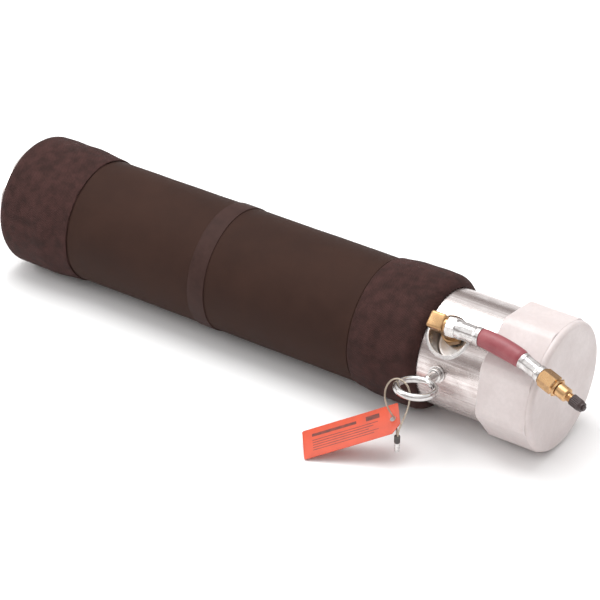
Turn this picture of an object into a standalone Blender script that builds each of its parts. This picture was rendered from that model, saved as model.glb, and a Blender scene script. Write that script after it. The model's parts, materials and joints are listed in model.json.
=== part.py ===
"""Inflatable flow-through pipe plug, lying on its two rubber cuffs.

Metres, +Z up. The plug's axis runs along X with the screw cap at +X. Every piece hangs
from an empty on that axis, so the sizes below are measured from the axis.
"""

from math import cos, pi, radians, sin, sqrt

import bmesh
import bpy
from mathutils import Matrix, Vector

# ---------------------------------------------------------------- driving sizes
CLEARANCE = 0.0003            # gap between pieces that touch
CUT_MARGIN = 0.0050           # how far a cutter passes the face it cuts
EDGE = 0.0004                 # small broken edge
ROUND = 64                    # sides of the large round pieces
SMALL_ROUND = 24              # sides of fittings
TINY_ROUND = 16               # sides of valve parts

TUBE_RADIUS = 0.0510
TUBE_WALL = 0.0032
TUBE_REAR_STICKOUT = 0.0020   # bare tube behind the sleeve
TUBE_END_CHAMFER = 0.0006
THREAD_RELIEF = 0.0004        # crest of the threaded end below the tube's surface
THREAD_LEAD = 0.0010          # chamfer at the thread's start
THREAD_OVERLAP = 0.0010       # thread that reaches into the cap's plain mouth

SLEEVE_FRONT_X = -0.0310
SLEEVE_LENGTH = 0.4470
SLEEVE_WALL = 0.0052
SLEEVE_CUFF_STEP = 0.0005     # the sleeve is this much thinner under its cuffs
REAR_CUFF_LENGTH = 0.0800
FRONT_CUFF_LENGTH = 0.0660
CUFF_WALL = 0.0042
CUFF_TAPER = 0.0023           # how much thinner a cuff's inner edge is
CUFF_STRAIGHT = 0.6           # share of a cuff's length before it tapers
CUFF_INNER_EDGE = 0.0010
CUFF_SHOULDER = 0.0120        # radius of the rounded end of a cuff
CUFF_SHOULDER_START = 20      # degrees of that round left off at the tube
CUFF_LIP = 0.0115             # rubber between the cuff's end face and the sleeve's end
CUFF_FLAT_DEPTH = 0.0015      # how far the cuffs squash on the floor

BAND_WIDTH = 0.0140
BAND_THICKNESS = 0.0009
BAND_GROOVE_DEPTH = 0.0015
BAND_INSETS = (0.0240, 0.0500)     # band centres, from the end of the sleeve
CENTRE_BAND_INSET = 0.2230    # from the rear end of the sleeve
CENTRE_BAND_WIDTH = 0.0170
CENTRE_BAND_THICKNESS = 0.0006

GALLERY_INSET = 0.0690        # air gallery over the bladder port, from the sleeve's front
GALLERY_WIDTH = 0.0160
GALLERY_ROOM = 0.0013         # space over the port's flange

CAP_OPEN_X = 0.0285
CAP_LENGTH = 0.0525
CAP_FLATS_LENGTH = 0.0470
CAP_FLATS = 8
CAP_FLAT_WALL = 0.0042        # middle of a flat above the tube's surface
CAP_LAND_WALL = 0.0074        # lands between the flats
CAP_CROWN_WALL = 0.0060
CAP_CROWN_EDGE = 0.0040
CAP_MOUTH_CHAMFER = 0.0020
CAP_END_WALL = 0.0060
CAP_FLATS_TURN = radians(8.7)
CAP_MOUTH_DEPTH = 0.0065
CAP_MOUTH_ROOM = 0.0001       # the mouth is looser on the tube than a plain fit
CAP_CROWN_ROOT = 0.0200       # how far the crown runs back inside the flats
CAP_CROWN_ROOT_WALL = 0.0010
GASKET_THICKNESS = 0.0030
GASKET_WIDTH = 0.0060

POCKET_GAP = 0.0005           # between the sleeve's end and the pocket
POCKET_ANGLE = radians(47)    # above horizontal, on the -Y side
POCKET_RADIUS = 0.0190
POCKET_WALL = 0.0018
POCKET_DEPTH = 0.0230         # pocket floor below the tube's surface
POCKET_RIM = 0.0011           # how far the pocket's rim stands above the tube

ELBOW_OFFSET = Vector((-0.0045, 0.0040))
ELBOW_BLOCK = 0.0145
ELBOW_BLOCK_EDGE = 0.0022
ELBOW_LEG_RADIUS = 0.0060
ELBOW_STUB_RADIUS = 0.0050
ELBOW_BORE_RADIUS = 0.0020
OUTLET_RISE = 0.0410          # hose centre above the pocket's floor
OUTLET_STUB = 0.00195         # outlet beyond the elbow's block
OUTLET_COLLAR = 0.0002        # the outlet is this much thicker than the leg
ELBOW_FLANGE = 0.0090
ELBOW_FLANGE_ACROSS = 0.0160
SEAL_THICKNESS = 0.0015
BULKHEAD_NUT_ACROSS = 0.0170
BULKHEAD_NUT_THICKNESS = 0.0050
STUB_RECESS = 0.0010          # the stub ends this far inside the bulkhead nut

AIR_LINE_RADIUS = 0.0030
AIR_LINE_WALL = 0.0008
PORT_BLOCK_ACROSS = 0.0120
PORT_BLOCK_DEPTH = 0.0085
PORT_NECK_RADIUS = 0.0030
PORT_FLANGE_RADIUS = 0.0055
PORT_FLANGE_THICKNESS = 0.0011
PORT_BORE_RADIUS = 0.0012

NUT_ACROSS = 0.0159
NUT_LENGTH = 0.0092
NUT_ROOM = 0.0006             # the swivel nut turns freely on the hose tail
TAIL_HEAD_STEP = 0.0003       # the tail's head is this much thicker than its barbs
TAIL_BARBS = 5
BARB_DEPTH = 0.0005
BARB_SLOPE = 0.35             # share of a barb's pitch before its crest
TAIL_END_GAP = 0.0020         # the tail stops this far inside its ferrule
HOSE_RADIUS = 0.0080
HOSE_BORE_RADIUS = 0.0044
HOSE_FREE_LENGTH = 0.0420
HOSE_BEND = radians(17)
HOSE_STEPS = 10               # rings along the free hose
HOSE_SWELL = 0.0022           # length over which the hose fills out past a crimp
INNER_FERRULE_STEP = 0.0001   # outside the hose
INNER_FERRULE_LENGTH = 0.0215
OUTER_FERRULE_STEP = -0.0007
OUTER_FERRULE_LENGTH = 0.0220
FERRULE_WALL = 0.0007
FERRULE_LIP = 0.0007
FERRULE_LIP_DEPTH = 0.0002

HEX_EDGE = 0.0006             # chamfer of a hexagon's corners
ADAPTER_ACROSS = 0.0148
ADAPTER_LENGTH = 0.0180
ADAPTER_EDGE = 0.0010
ADAPTER_SOCKET_DEPTH = 0.0080
STEM_BASE_STEP = 0.0021       # base outside the thread
STEM_BASE_LENGTH = 0.0100
STEM_BASE_CHAMFER = 0.0010
STEM_BASE_SLOPE = 0.0014
STEM_THREAD_RADIUS = 0.0039
STEM_THREAD_LENGTH = 0.0149
STEM_NECK = 0.0044            # bare thread between the base and the valve cap
STEM_BORE_RADIUS = 0.0026
STEM_PASSAGE_RADIUS = 0.0011
CORE_LENGTH = 0.0078
CORE_RECESS = 0.0007          # core's end inside the stem's end
PIN_RADIUS = 0.0007
PIN_TIP = 0.0003              # pin beyond the core
PIN_COLLAR_GAP = 0.0007       # collar inside the stem's bore
PIN_COLLAR_LENGTH = 0.0012
PIN_TAIL_START = 0.0022       # from the spring's seat
SPRING_SEAT_DEPTH = 0.0066    # spring's seat ahead of the stem's rear face
SPRING_TURNS = 6
SPRING_TURN_STEPS = 12
SPRING_RADIUS = 0.0015
SPRING_WIRE_RADIUS = 0.00022
VALVE_CAP_WALL = 0.0007
VALVE_CAP_TIP_RADIUS = 0.0025
VALVE_CAP_END = 0.0016
VALVE_CAP_MOUTH_EDGE = 0.0006
VALVE_CAP_DOME = ((0.0018, 0.0002), (0.0005, 0.0010))   # before the end, inside the radius
VALVE_CAP_WASHER = 0.0008
VALVE_WASHER_BORE_RADIUS = 0.0012

EYE_SHIFT = -0.0005           # from the pocket's centre
EYE_ANGLE = radians(8)
EYE_RISE = 0.0180             # middle of the ring's near bar above the tube
EYE_RING_RADIUS = 0.0160
EYE_BAR_RADIUS = 0.0031
EYE_SHANK_RADIUS = 0.0030
EYE_SHANK_EDGE = 0.0005
EYE_SHANK_END = 0.0020        # shank beyond the nut
EYE_COLLAR_RADIUS = 0.0060
EYE_COLLAR_THICKNESS = 0.0035
EYE_COLLAR_DOME = 0.0008
EYE_NECK_RADIUS = 0.0042
EYE_NECK_TAPER = 0.0012
EYE_ROOT_RADIUS = 0.0018
EYE_NUT_ACROSS = 0.0100
EYE_NUT_THICKNESS = 0.0050
WASHER_RADIUS = 0.0075
INNER_WASHER_RADIUS = 0.0060
WASHER_THICKNESS = 0.0015

TAG_TURN = (radians(17), radians(-22.5), radians(31))
TAG_LENGTH = 0.0860
TAG_WIDTH = 0.0300
TAG_THICKNESS = 0.0008
TAG_HOLE_RADIUS = 0.0026
TAG_HOLE_INSET = 0.0060
TAG_CORNER_CUT = 0.0080
TAG_CORNER = 0.0015

# The lanyard's places are from the middle of the eye bolt's ring.
TAG_HOLE = Vector((-0.01865, -0.0041, -0.03565))
CRIMP_TOP = Vector((-0.0085, -0.0133, -0.0433))
WIRE_RADIUS = 0.00075
CRIMP_COVER_RADIUS = 0.0026
CRIMP_COVER_LENGTH = 0.0065
CRIMP_RADIUS = 0.0024
CRIMP_LENGTH = 0.0085
# The wire leaves the crimp, goes up through the eye, over its bar, down through the tag
# and back to the crimp. Millimetres.
WIRE_ROUTE = (
    (-7.6, -14.1, -43.0), (-7.3, -14.0, -39.8), (-6.3, -13.0, -34.3),
    (-4.4, -11.2, -26.8), (-2.6, -8.8, -18.8), (-2.0, -6.3, -10.8),
    (-2.8, -4.4, -4.3), (-6.0, -2.8, 1.0), (-10.8, -2.3, 3.9),
    (-16.0, -2.4, 4.7), (-20.9, -3.2, 2.2), (-24.3, -4.4, -3.0),
    (-25.9, -5.5, -9.5), (-25.4, -6.2, -16.5), (-23.2, -6.3, -23.3),
    (-20.0, -5.4, -29.6), (-17.9, -4.1, -33.6), (-17.1, -2.7, -36.8),
    (-16.2, -3.0, -39.6), (-14.2, -5.6, -41.0), (-11.6, -9.0, -41.1),
    (-9.9, -11.7, -41.7), (-9.4, -12.5, -43.0),
)
WIRE_STEPS = 2                # straight pieces between two route points

# ---------------------------------------------------------------- worked-out sizes
TUBE_BORE_RADIUS = TUBE_RADIUS - TUBE_WALL
THREAD_RADIUS = TUBE_RADIUS - THREAD_RELIEF
SLEEVE_BORE_RADIUS = TUBE_RADIUS + CLEARANCE
SLEEVE_RADIUS = SLEEVE_BORE_RADIUS + SLEEVE_WALL
SLEEVE_UNDER_CUFF_RADIUS = SLEEVE_RADIUS - SLEEVE_CUFF_STEP
CUFF_BORE_RADIUS = SLEEVE_UNDER_CUFF_RADIUS + CLEARANCE
CUFF_RADIUS = CUFF_BORE_RADIUS + CUFF_WALL
CUFF_EDGE_RADIUS = CUFF_RADIUS - CUFF_TAPER
BAND_GROOVE_RADIUS = SLEEVE_UNDER_CUFF_RADIUS - BAND_GROOVE_DEPTH
FLOOR_Z = -(CUFF_RADIUS - CUFF_FLAT_DEPTH)

SLEEVE_REAR_X = SLEEVE_FRONT_X - SLEEVE_LENGTH
TUBE_REAR_X = SLEEVE_REAR_X - TUBE_REAR_STICKOUT
CENTRE_BAND_X = SLEEVE_REAR_X + CENTRE_BAND_INSET
GALLERY_X = SLEEVE_FRONT_X - GALLERY_INSET
GALLERY_DEPTH = PORT_FLANGE_THICKNESS + GALLERY_ROOM

CAP_FACE_X = CAP_OPEN_X + CAP_LENGTH
CAP_ACROSS_FLATS = 2 * (TUBE_RADIUS + CAP_FLAT_WALL)
CAP_LAND_RADIUS = TUBE_RADIUS + CAP_LAND_WALL
CAP_CROWN_RADIUS = TUBE_RADIUS + CAP_CROWN_WALL
THREAD_START_X = CAP_OPEN_X + CAP_MOUTH_DEPTH - THREAD_OVERLAP
TUBE_FRONT_X = CAP_FACE_X - CAP_END_WALL - GASKET_THICKNESS - 2 * CLEARANCE

POCKET_X = SLEEVE_FRONT_X + POCKET_GAP + POCKET_RADIUS
POCKET_TOP_RADIUS = TUBE_RADIUS + POCKET_RIM
POCKET_FLOOR = TUBE_RADIUS - POCKET_DEPTH
OUTLET_HEIGHT = POCKET_FLOOR + OUTLET_RISE
OUTLET_REACH = ELBOW_BLOCK / 2 + OUTLET_STUB
OUTLET_X = ELBOW_OFFSET.x + OUTLET_REACH
NUT_X = OUTLET_X + CLEARANCE
HOSE_X = NUT_X + NUT_LENGTH + CLEARANCE
TAIL_RADIUS = HOSE_BORE_RADIUS - CLEARANCE
INNER_FERRULE_RADIUS = HOSE_RADIUS + INNER_FERRULE_STEP
OUTER_FERRULE_RADIUS = HOSE_RADIUS + OUTER_FERRULE_STEP
INNER_FERRULE_END_X = HOSE_X + INNER_FERRULE_LENGTH
BEND_RADIUS = HOSE_FREE_LENGTH / HOSE_BEND
ADAPTER_X = OUTER_FERRULE_LENGTH + CLEARANCE
STEM_BASE_RADIUS = STEM_THREAD_RADIUS + STEM_BASE_STEP
CORE_RADIUS = STEM_BORE_RADIUS - CLEARANCE
PIN_COLLAR_RADIUS = STEM_BORE_RADIUS - PIN_COLLAR_GAP
VALVE_CAP_RADIUS = STEM_THREAD_RADIUS + CLEARANCE + VALVE_CAP_WALL
STEM_X = ADAPTER_X + ADAPTER_LENGTH + CLEARANCE
THREAD_X = STEM_X + STEM_BASE_LENGTH
STEM_END_X = THREAD_X + STEM_THREAD_LENGTH
VALVE_CAP_X = THREAD_X + STEM_NECK
VALVE_CAP_SEAT_X = STEM_END_X + VALVE_CAP_WASHER + 2 * CLEARANCE
CORE_END_X = STEM_END_X - CORE_RECESS
SPRING_SEAT_X = STEM_X + SPRING_SEAT_DEPTH
EYE_X = POCKET_X + EYE_SHIFT
EYE_HEIGHT = TUBE_RADIUS + EYE_RISE + EYE_RING_RADIUS

# Pieces along X end where the longest of them does; the eye reaches furthest to -Y.
FRONT_X = (POCKET_X + INNER_FERRULE_END_X + BEND_RADIUS * sin(HOSE_BEND)
           + (VALVE_CAP_SEAT_X + VALVE_CAP_END) * cos(HOSE_BEND)
           + VALVE_CAP_TIP_RADIUS * sin(HOSE_BEND))
EYE_REACH = (EYE_HEIGHT + EYE_RING_RADIUS) * cos(EYE_ANGLE) + EYE_BAR_RADIUS
CENTRE_X = (TUBE_REAR_X + FRONT_X) / 2
CENTRE_Y = (CUFF_RADIUS - EYE_REACH) / 2

# ---------------------------------------------------------------- materials
FINISHES = {
    "mill_aluminium": ((0.80, 0.79, 0.78), 0.28, 1.0),
    "welded_aluminium": ((0.74, 0.73, 0.72), 0.35, 1.0),
    "black_rubber": ((0.050, 0.032, 0.028), 0.80, 0.0),
    "cuff_rubber": ((0.090, 0.045, 0.045), 0.90, 0.0),
    "band_rubber": ((0.075, 0.055, 0.052), 0.55, 0.0),
    "seal_rubber": ((0.030, 0.030, 0.032), 0.75, 0.0),
    "white_pvc": ((0.86, 0.84, 0.82), 0.38, 0.0),
    "brass": ((0.72, 0.45, 0.20), 0.25, 1.0),
    "plated_steel": ((0.82, 0.81, 0.80), 0.20, 1.0),
    "stainless": ((0.70, 0.69, 0.68), 0.30, 1.0),
    "red_rubber": ((0.28, 0.050, 0.060), 0.60, 0.0),
    "black_plastic": ((0.035, 0.022, 0.022), 0.45, 0.0),
    "blue_nylon": ((0.10, 0.16, 0.40), 0.45, 0.0),
    "orange_vinyl": ((0.85, 0.17, 0.065), 0.45, 0.0),
    "crimp_cover": ((0.05, 0.04, 0.04), 0.55, 0.0),
}


def material(name, finish):
    """Give one object its own Principled material."""
    colour, roughness, metallic = FINISHES[finish]
    made = bpy.data.materials.new(name)
    made.use_nodes = True
    shader = made.node_tree.nodes["Principled BSDF"]
    shader.inputs["Base Color"].default_value = (*colour, 1)
    shader.inputs["Roughness"].default_value = roughness
    shader.inputs["Metallic"].default_value = metallic
    made.diffuse_color = (*colour, 1)
    return made


# ---------------------------------------------------------------- modelling helpers
def add(name, data, parent, finish=None, at=(0, 0, 0), turn=(0, 0, 0)):
    """Put a mesh or curve in the scene as a child of an empty."""
    made = bpy.data.objects.new(name, data)
    bpy.context.collection.objects.link(made)
    made.parent = parent
    made.location = at
    made.rotation_euler = turn
    if finish:
        data.materials.append(material(name, finish))
    return made


def empty(name, parent=None, at=(0, 0, 0), turn=(0, 0, 0)):
    """An empty that carries the pieces sharing its frame."""
    made = bpy.data.objects.new(name, None)
    bpy.context.collection.objects.link(made)
    made.parent = parent
    made.location = at
    made.rotation_euler = turn
    made.empty_display_size = 0.01
    return made


def finished(name, shape):
    """Turn a bmesh into a mesh with its faces pointing outward."""
    bmesh.ops.remove_doubles(shape, verts=shape.verts, dist=1e-7)
    bmesh.ops.recalc_face_normals(shape, faces=shape.faces)
    mesh = bpy.data.meshes.new(name)
    shape.to_mesh(mesh)
    shape.free()
    return mesh


def turned(name, outline, sides=ROUND, along="X"):
    """Spin a closed outline of (distance, radius) points about a local axis."""
    shape = bmesh.new()
    if along == "X":
        axis = Vector((1, 0, 0))
        verts = [shape.verts.new((x, 0, r)) for x, r in outline]
    else:
        axis = Vector((0, 0, 1))
        verts = [shape.verts.new((r, 0, z)) for z, r in outline]
    pairs = zip(verts, verts[1:] + verts[:1])
    edges = [shape.edges.new(pair) for pair in pairs if max(pair[0].co.cross(axis).length,
                                                            pair[1].co.cross(axis).length) > 1e-6]
    bmesh.ops.spin(shape, geom=verts + edges, cent=(0, 0, 0), axis=axis, angle=2 * pi,
                   steps=sides, use_merge=True)
    return finished(name, shape)


def ring(name, start, end, inner, outer, sides=ROUND, along="X"):
    """A plain tube between two stations."""
    outline = [(start, inner), (start, outer), (end, outer), (end, inner)]
    return turned(name, outline, sides, along)


def rod(name, start, end, radius, sides=SMALL_ROUND, along="X"):
    """A solid cylinder between two stations."""
    outline = [(start, 0), (start, radius), (end, radius), (end, 0)]
    return turned(name, outline, sides, along)


def hexagon(name, start, end, across, bore=0.0, along="X", chamfer=HEX_EDGE):
    """A hexagonal prism with chamfered ends, with a round bore when one is given."""
    corner = across / 2 / cos(pi / 6)
    outline = [(start, 0), (start, corner - chamfer * 2), (start + chamfer, corner),
               (end - chamfer, corner), (end, corner - chamfer * 2), (end, 0)]
    mesh = turned(name, outline, 6, along)
    if along == "X":
        mesh.transform(Matrix.Rotation(radians(30), 4, "X"))
    if bore:
        return mesh, rod(name + "_bore", start - CUT_MARGIN, end + CUT_MARGIN, bore, along=along)
    return mesh


def arc(centre, radius, start, end, steps):
    """Points of a round corner as (distance, radius), angles in degrees."""
    angles = [radians(start + (end - start) * i / steps) for i in range(steps + 1)]
    return [(centre[0] + radius * cos(a), centre[1] + radius * sin(a)) for a in angles]


def boolean(target, tool_mesh, operation, parent=None, at=(0, 0, 0), turn=(0, 0, 0)):
    """Cut, join or intersect an object with a helper solid."""
    tool = add(tool_mesh.name, tool_mesh, parent or target.parent, at=at, turn=turn)
    tool.display_type = "WIRE"
    tool.hide_render = True
    change = target.modifiers.new(tool_mesh.name, "BOOLEAN")
    change.operation = operation
    change.object = tool
    return tool


def flatten(mesh, height):
    """Squash everything below a height onto that height."""
    for vert in mesh.vertices:
        vert.co.z = max(vert.co.z, height)


# ---------------------------------------------------------------- pieces
def bypass_tube(axis, port, eye):
    """Aluminium tube that carries everything, open at the rear and threaded in front."""
    outline = [(TUBE_REAR_X, TUBE_BORE_RADIUS), (TUBE_REAR_X, TUBE_RADIUS - TUBE_END_CHAMFER),
               (TUBE_REAR_X + TUBE_END_CHAMFER, TUBE_RADIUS), (THREAD_START_X, TUBE_RADIUS),
               (THREAD_START_X, THREAD_RADIUS), (TUBE_FRONT_X - THREAD_LEAD, THREAD_RADIUS),
               (TUBE_FRONT_X, THREAD_RADIUS - THREAD_LEAD), (TUBE_FRONT_X, TUBE_BORE_RADIUS)]
    tube = add("bypass_tube", turned("bypass_tube", outline), axis, "mill_aluminium")
    inside = TUBE_BORE_RADIUS - CUT_MARGIN
    outside = TUBE_RADIUS + CUT_MARGIN
    pocket_hole = rod("pocket_hole", POCKET_FLOOR, outside, POCKET_RADIUS + CLEARANCE, ROUND, "Z")
    boolean(tube, pocket_hole, "DIFFERENCE", port)
    bolt_hole = rod("bolt_hole", inside, outside, EYE_SHANK_RADIUS + CLEARANCE, along="Z")
    boolean(tube, bolt_hole, "DIFFERENCE", eye)
    port_hole = rod("port_hole", inside, outside, PORT_NECK_RADIUS + CLEARANCE, along="Z")
    boolean(tube, port_hole, "DIFFERENCE", port, at=(GALLERY_X - POCKET_X, 0, 0))


def band_stations():
    """Centres of the four clamp bands, rear pair then front pair."""
    rear = [SLEEVE_REAR_X + inset for inset in BAND_INSETS]
    front = [SLEEVE_FRONT_X - inset for inset in reversed(BAND_INSETS)]
    return rear + front


def rubber_sleeve(axis):
    """The inflating sleeve, with a groove for each clamp band and an air gallery."""
    rear = SLEEVE_REAR_X + CUFF_LIP + CLEARANCE
    front = SLEEVE_FRONT_X - CUFF_LIP - CLEARANCE
    step = CLEARANCE * 2
    rear_cuff_edge = SLEEVE_REAR_X + REAR_CUFF_LENGTH + step
    front_cuff_edge = SLEEVE_FRONT_X - FRONT_CUFF_LENGTH - step
    half = BAND_WIDTH / 2 + CLEARANCE
    stations = band_stations()
    outline = [(rear, SLEEVE_BORE_RADIUS), (rear, SLEEVE_UNDER_CUFF_RADIUS)]
    for index, centre in enumerate(stations):
        if index == 2:
            outline += [(rear_cuff_edge, SLEEVE_UNDER_CUFF_RADIUS),
                        (rear_cuff_edge, SLEEVE_RADIUS), (front_cuff_edge, SLEEVE_RADIUS),
                        (front_cuff_edge, SLEEVE_UNDER_CUFF_RADIUS)]
        outline += [(centre - half, SLEEVE_UNDER_CUFF_RADIUS), (centre - half, BAND_GROOVE_RADIUS),
                    (centre + half, BAND_GROOVE_RADIUS), (centre + half, SLEEVE_UNDER_CUFF_RADIUS)]
    gallery_front = GALLERY_X + GALLERY_WIDTH / 2
    gallery_rear = GALLERY_X - GALLERY_WIDTH / 2
    outline += [(front, SLEEVE_UNDER_CUFF_RADIUS), (front, SLEEVE_BORE_RADIUS),
                (gallery_front, SLEEVE_BORE_RADIUS),
                (gallery_front, SLEEVE_BORE_RADIUS + GALLERY_DEPTH),
                (gallery_rear, SLEEVE_BORE_RADIUS + GALLERY_DEPTH),
                (gallery_rear, SLEEVE_BORE_RADIUS)]
    add("rubber_sleeve", turned("rubber_sleeve", outline), axis, "black_rubber")


def cuff(name, axis, end_x, length, towards_middle):
    """A thick rubber cuff that wraps one end of the sleeve."""
    def station(distance):
        return end_x + towards_middle * distance

    shoulder = [(station(CUFF_SHOULDER - x), r) for x, r in
                arc((0, CUFF_RADIUS - CUFF_SHOULDER), CUFF_SHOULDER, CUFF_SHOULDER_START, 90, 7)]
    outline = [(station(2 * CLEARANCE), SLEEVE_BORE_RADIUS), *shoulder,
               (station(length * CUFF_STRAIGHT), CUFF_RADIUS),
               (station(length - CUFF_INNER_EDGE), CUFF_EDGE_RADIUS),
               (station(length), CUFF_EDGE_RADIUS - CUFF_INNER_EDGE),
               (station(length), CUFF_BORE_RADIUS),
               (station(CUFF_LIP), CUFF_BORE_RADIUS),
               (station(CUFF_LIP), SLEEVE_BORE_RADIUS)]
    mesh = turned(name, outline)
    flatten(mesh, FLOOR_Z)
    add(name, mesh, axis, "cuff_rubber")


def bands(axis):
    """Steel clamp bands under the cuffs and the smooth band round the middle."""
    names = ("rear_outer_band", "rear_inner_band", "front_inner_band", "front_outer_band")
    inner = BAND_GROOVE_RADIUS + CLEARANCE
    for name, centre in zip(names, band_stations()):
        start = centre - BAND_WIDTH / 2
        mesh = ring(name, start, start + BAND_WIDTH, inner, inner + BAND_THICKNESS)
        add(name, mesh, axis, "stainless")
    start = CENTRE_BAND_X - CENTRE_BAND_WIDTH / 2
    inner = SLEEVE_RADIUS + CLEARANCE
    mesh = ring("centre_band", start, start + CENTRE_BAND_WIDTH, inner,
                inner + CENTRE_BAND_THICKNESS)
    add("centre_band", mesh, axis, "band_rubber")


def end_cap(axis):
    """Screw cap with eight wrench flats and a round crown, and the gasket inside it."""
    flats_end = CAP_OPEN_X + CAP_FLATS_LENGTH
    outline = [(CAP_OPEN_X, 0), (CAP_OPEN_X, CAP_LAND_RADIUS - CAP_MOUTH_CHAMFER),
               (CAP_OPEN_X + CAP_MOUTH_CHAMFER, CAP_LAND_RADIUS),
               (flats_end - EDGE, CAP_LAND_RADIUS), (flats_end, CAP_LAND_RADIUS - EDGE),
               (flats_end, 0)]
    cap = add("end_cap", turned("end_cap", outline), axis, "white_pvc")
    flats = rod("cap_flats", CAP_OPEN_X - CUT_MARGIN, flats_end + CUT_MARGIN,
                CAP_ACROSS_FLATS / 2 / cos(pi / CAP_FLATS), CAP_FLATS)
    flats.transform(Matrix.Rotation(CAP_FLATS_TURN, 4, "X"))
    boolean(cap, flats, "INTERSECT")
    crown_edge = arc((CAP_FACE_X - CAP_CROWN_EDGE, CAP_CROWN_RADIUS - CAP_CROWN_EDGE),
                     CAP_CROWN_EDGE, 90, 0, 5)
    crown_start = flats_end - EDGE
    root = crown_start - CAP_CROWN_ROOT
    inside = THREAD_RADIUS + CLEARANCE + CAP_CROWN_ROOT_WALL
    crown = [(root, 0), (root, inside), (crown_start, inside),
             (crown_start, CAP_CROWN_RADIUS), *crown_edge, (CAP_FACE_X, 0)]
    boolean(cap, turned("cap_crown", crown), "UNION")
    bore = THREAD_RADIUS + CLEARANCE
    mouth = TUBE_RADIUS + CLEARANCE + CAP_MOUTH_ROOM
    mouth_end = CAP_OPEN_X + CAP_MOUTH_DEPTH
    seat = CAP_FACE_X - CAP_END_WALL
    before = CAP_OPEN_X - CUT_MARGIN
    hollow = [(before, 0), (before, mouth), (mouth_end, mouth),
              (mouth_end, bore), (seat, bore), (seat, 0)]
    boolean(cap, turned("cap_hollow", hollow), "DIFFERENCE")
    gasket_outer = THREAD_RADIUS - EDGE
    gasket_start = TUBE_FRONT_X + CLEARANCE
    mesh = ring("end_cap_gasket", gasket_start, gasket_start + GASKET_THICKNESS,
                gasket_outer - GASKET_WIDTH, gasket_outer)
    add("end_cap_gasket", mesh, axis, "seal_rubber")


def port_pocket(port):
    """Welded cup in the tube's wall that the inflation elbow stands in."""
    inner = POCKET_RADIUS - POCKET_WALL
    below = POCKET_FLOOR - POCKET_WALL
    above = TUBE_RADIUS + CUT_MARGIN
    outline = [(below, 0), (below, POCKET_RADIUS), (above, POCKET_RADIUS), (above, inner),
               (POCKET_FLOOR, inner), (POCKET_FLOOR, 0)]
    pocket = add("port_pocket", turned("port_pocket", outline, ROUND, "Z"), port, "welded_aluminium")
    envelope = rod("pocket_envelope", -2 * POCKET_RADIUS, 2 * POCKET_RADIUS, POCKET_TOP_RADIUS,
                   ROUND)
    boolean(pocket, envelope, "INTERSECT")
    hole = rod("floor_hole", below - CUT_MARGIN, POCKET_FLOOR + CUT_MARGIN,
               ELBOW_STUB_RADIUS + CLEARANCE, along="Z")
    boolean(pocket, hole, "DIFFERENCE", at=(*ELBOW_OFFSET, 0))


def port_elbow(port):
    """Square-bodied elbow, its floor seal and the nut that holds it from inside."""
    place = (*ELBOW_OFFSET, 0)
    seal_z = POCKET_FLOOR + CLEARANCE
    flange_z = seal_z + SEAL_THICKNESS + CLEARANCE
    nut_z = POCKET_FLOOR - POCKET_WALL - CLEARANCE
    stub_z = nut_z - BULKHEAD_NUT_THICKNESS + STUB_RECESS
    shape = bmesh.new()
    bmesh.ops.create_cube(shape, size=ELBOW_BLOCK)
    bmesh.ops.bevel(shape, geom=shape.edges, offset=ELBOW_BLOCK_EDGE, segments=2, affect="EDGES")
    bmesh.ops.translate(shape, verts=shape.verts, vec=(0, 0, OUTLET_HEIGHT))
    elbow = add("port_elbow", finished("port_elbow", shape), port, "brass", at=place)
    shoulder_z = flange_z + ELBOW_FLANGE / 2
    leg = [(stub_z, 0), (stub_z, ELBOW_STUB_RADIUS), (shoulder_z, ELBOW_STUB_RADIUS),
           (shoulder_z, ELBOW_LEG_RADIUS), (OUTLET_HEIGHT, ELBOW_LEG_RADIUS),
           (OUTLET_HEIGHT, 0)]
    boolean(elbow, turned("elbow_leg", leg, SMALL_ROUND, "Z"), "UNION", at=place)
    flange = hexagon("elbow_flange", flange_z, flange_z + ELBOW_FLANGE, ELBOW_FLANGE_ACROSS,
                     along="Z")
    boolean(elbow, flange, "UNION", at=place)
    outlet = rod("elbow_outlet", 0, OUTLET_REACH, ELBOW_LEG_RADIUS + OUTLET_COLLAR)
    boolean(elbow, outlet, "UNION", at=(*ELBOW_OFFSET, OUTLET_HEIGHT))
    drop = rod("elbow_drop_bore", stub_z - CUT_MARGIN, OUTLET_HEIGHT, ELBOW_BORE_RADIUS, along="Z")
    boolean(elbow, drop, "DIFFERENCE", at=place)
    across = rod("elbow_cross_bore", -ELBOW_BORE_RADIUS / 2, OUTLET_REACH + CUT_MARGIN,
                 ELBOW_BORE_RADIUS)
    boolean(elbow, across, "DIFFERENCE", at=(*ELBOW_OFFSET, OUTLET_HEIGHT))

    seal = ring("elbow_seal", seal_z, seal_z + SEAL_THICKNESS, ELBOW_STUB_RADIUS + CLEARANCE,
                ELBOW_FLANGE_ACROSS / 2, SMALL_ROUND, "Z")
    add("elbow_seal", seal, port, "seal_rubber", at=place)
    prism, bore = hexagon("bulkhead_nut", nut_z - BULKHEAD_NUT_THICKNESS, nut_z,
                          BULKHEAD_NUT_ACROSS, ELBOW_STUB_RADIUS + CLEARANCE, "Z")
    nut = add("bulkhead_nut", prism, port, "brass", at=place)
    boolean(nut, bore, "DIFFERENCE", at=place)
    return stub_z


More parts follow.
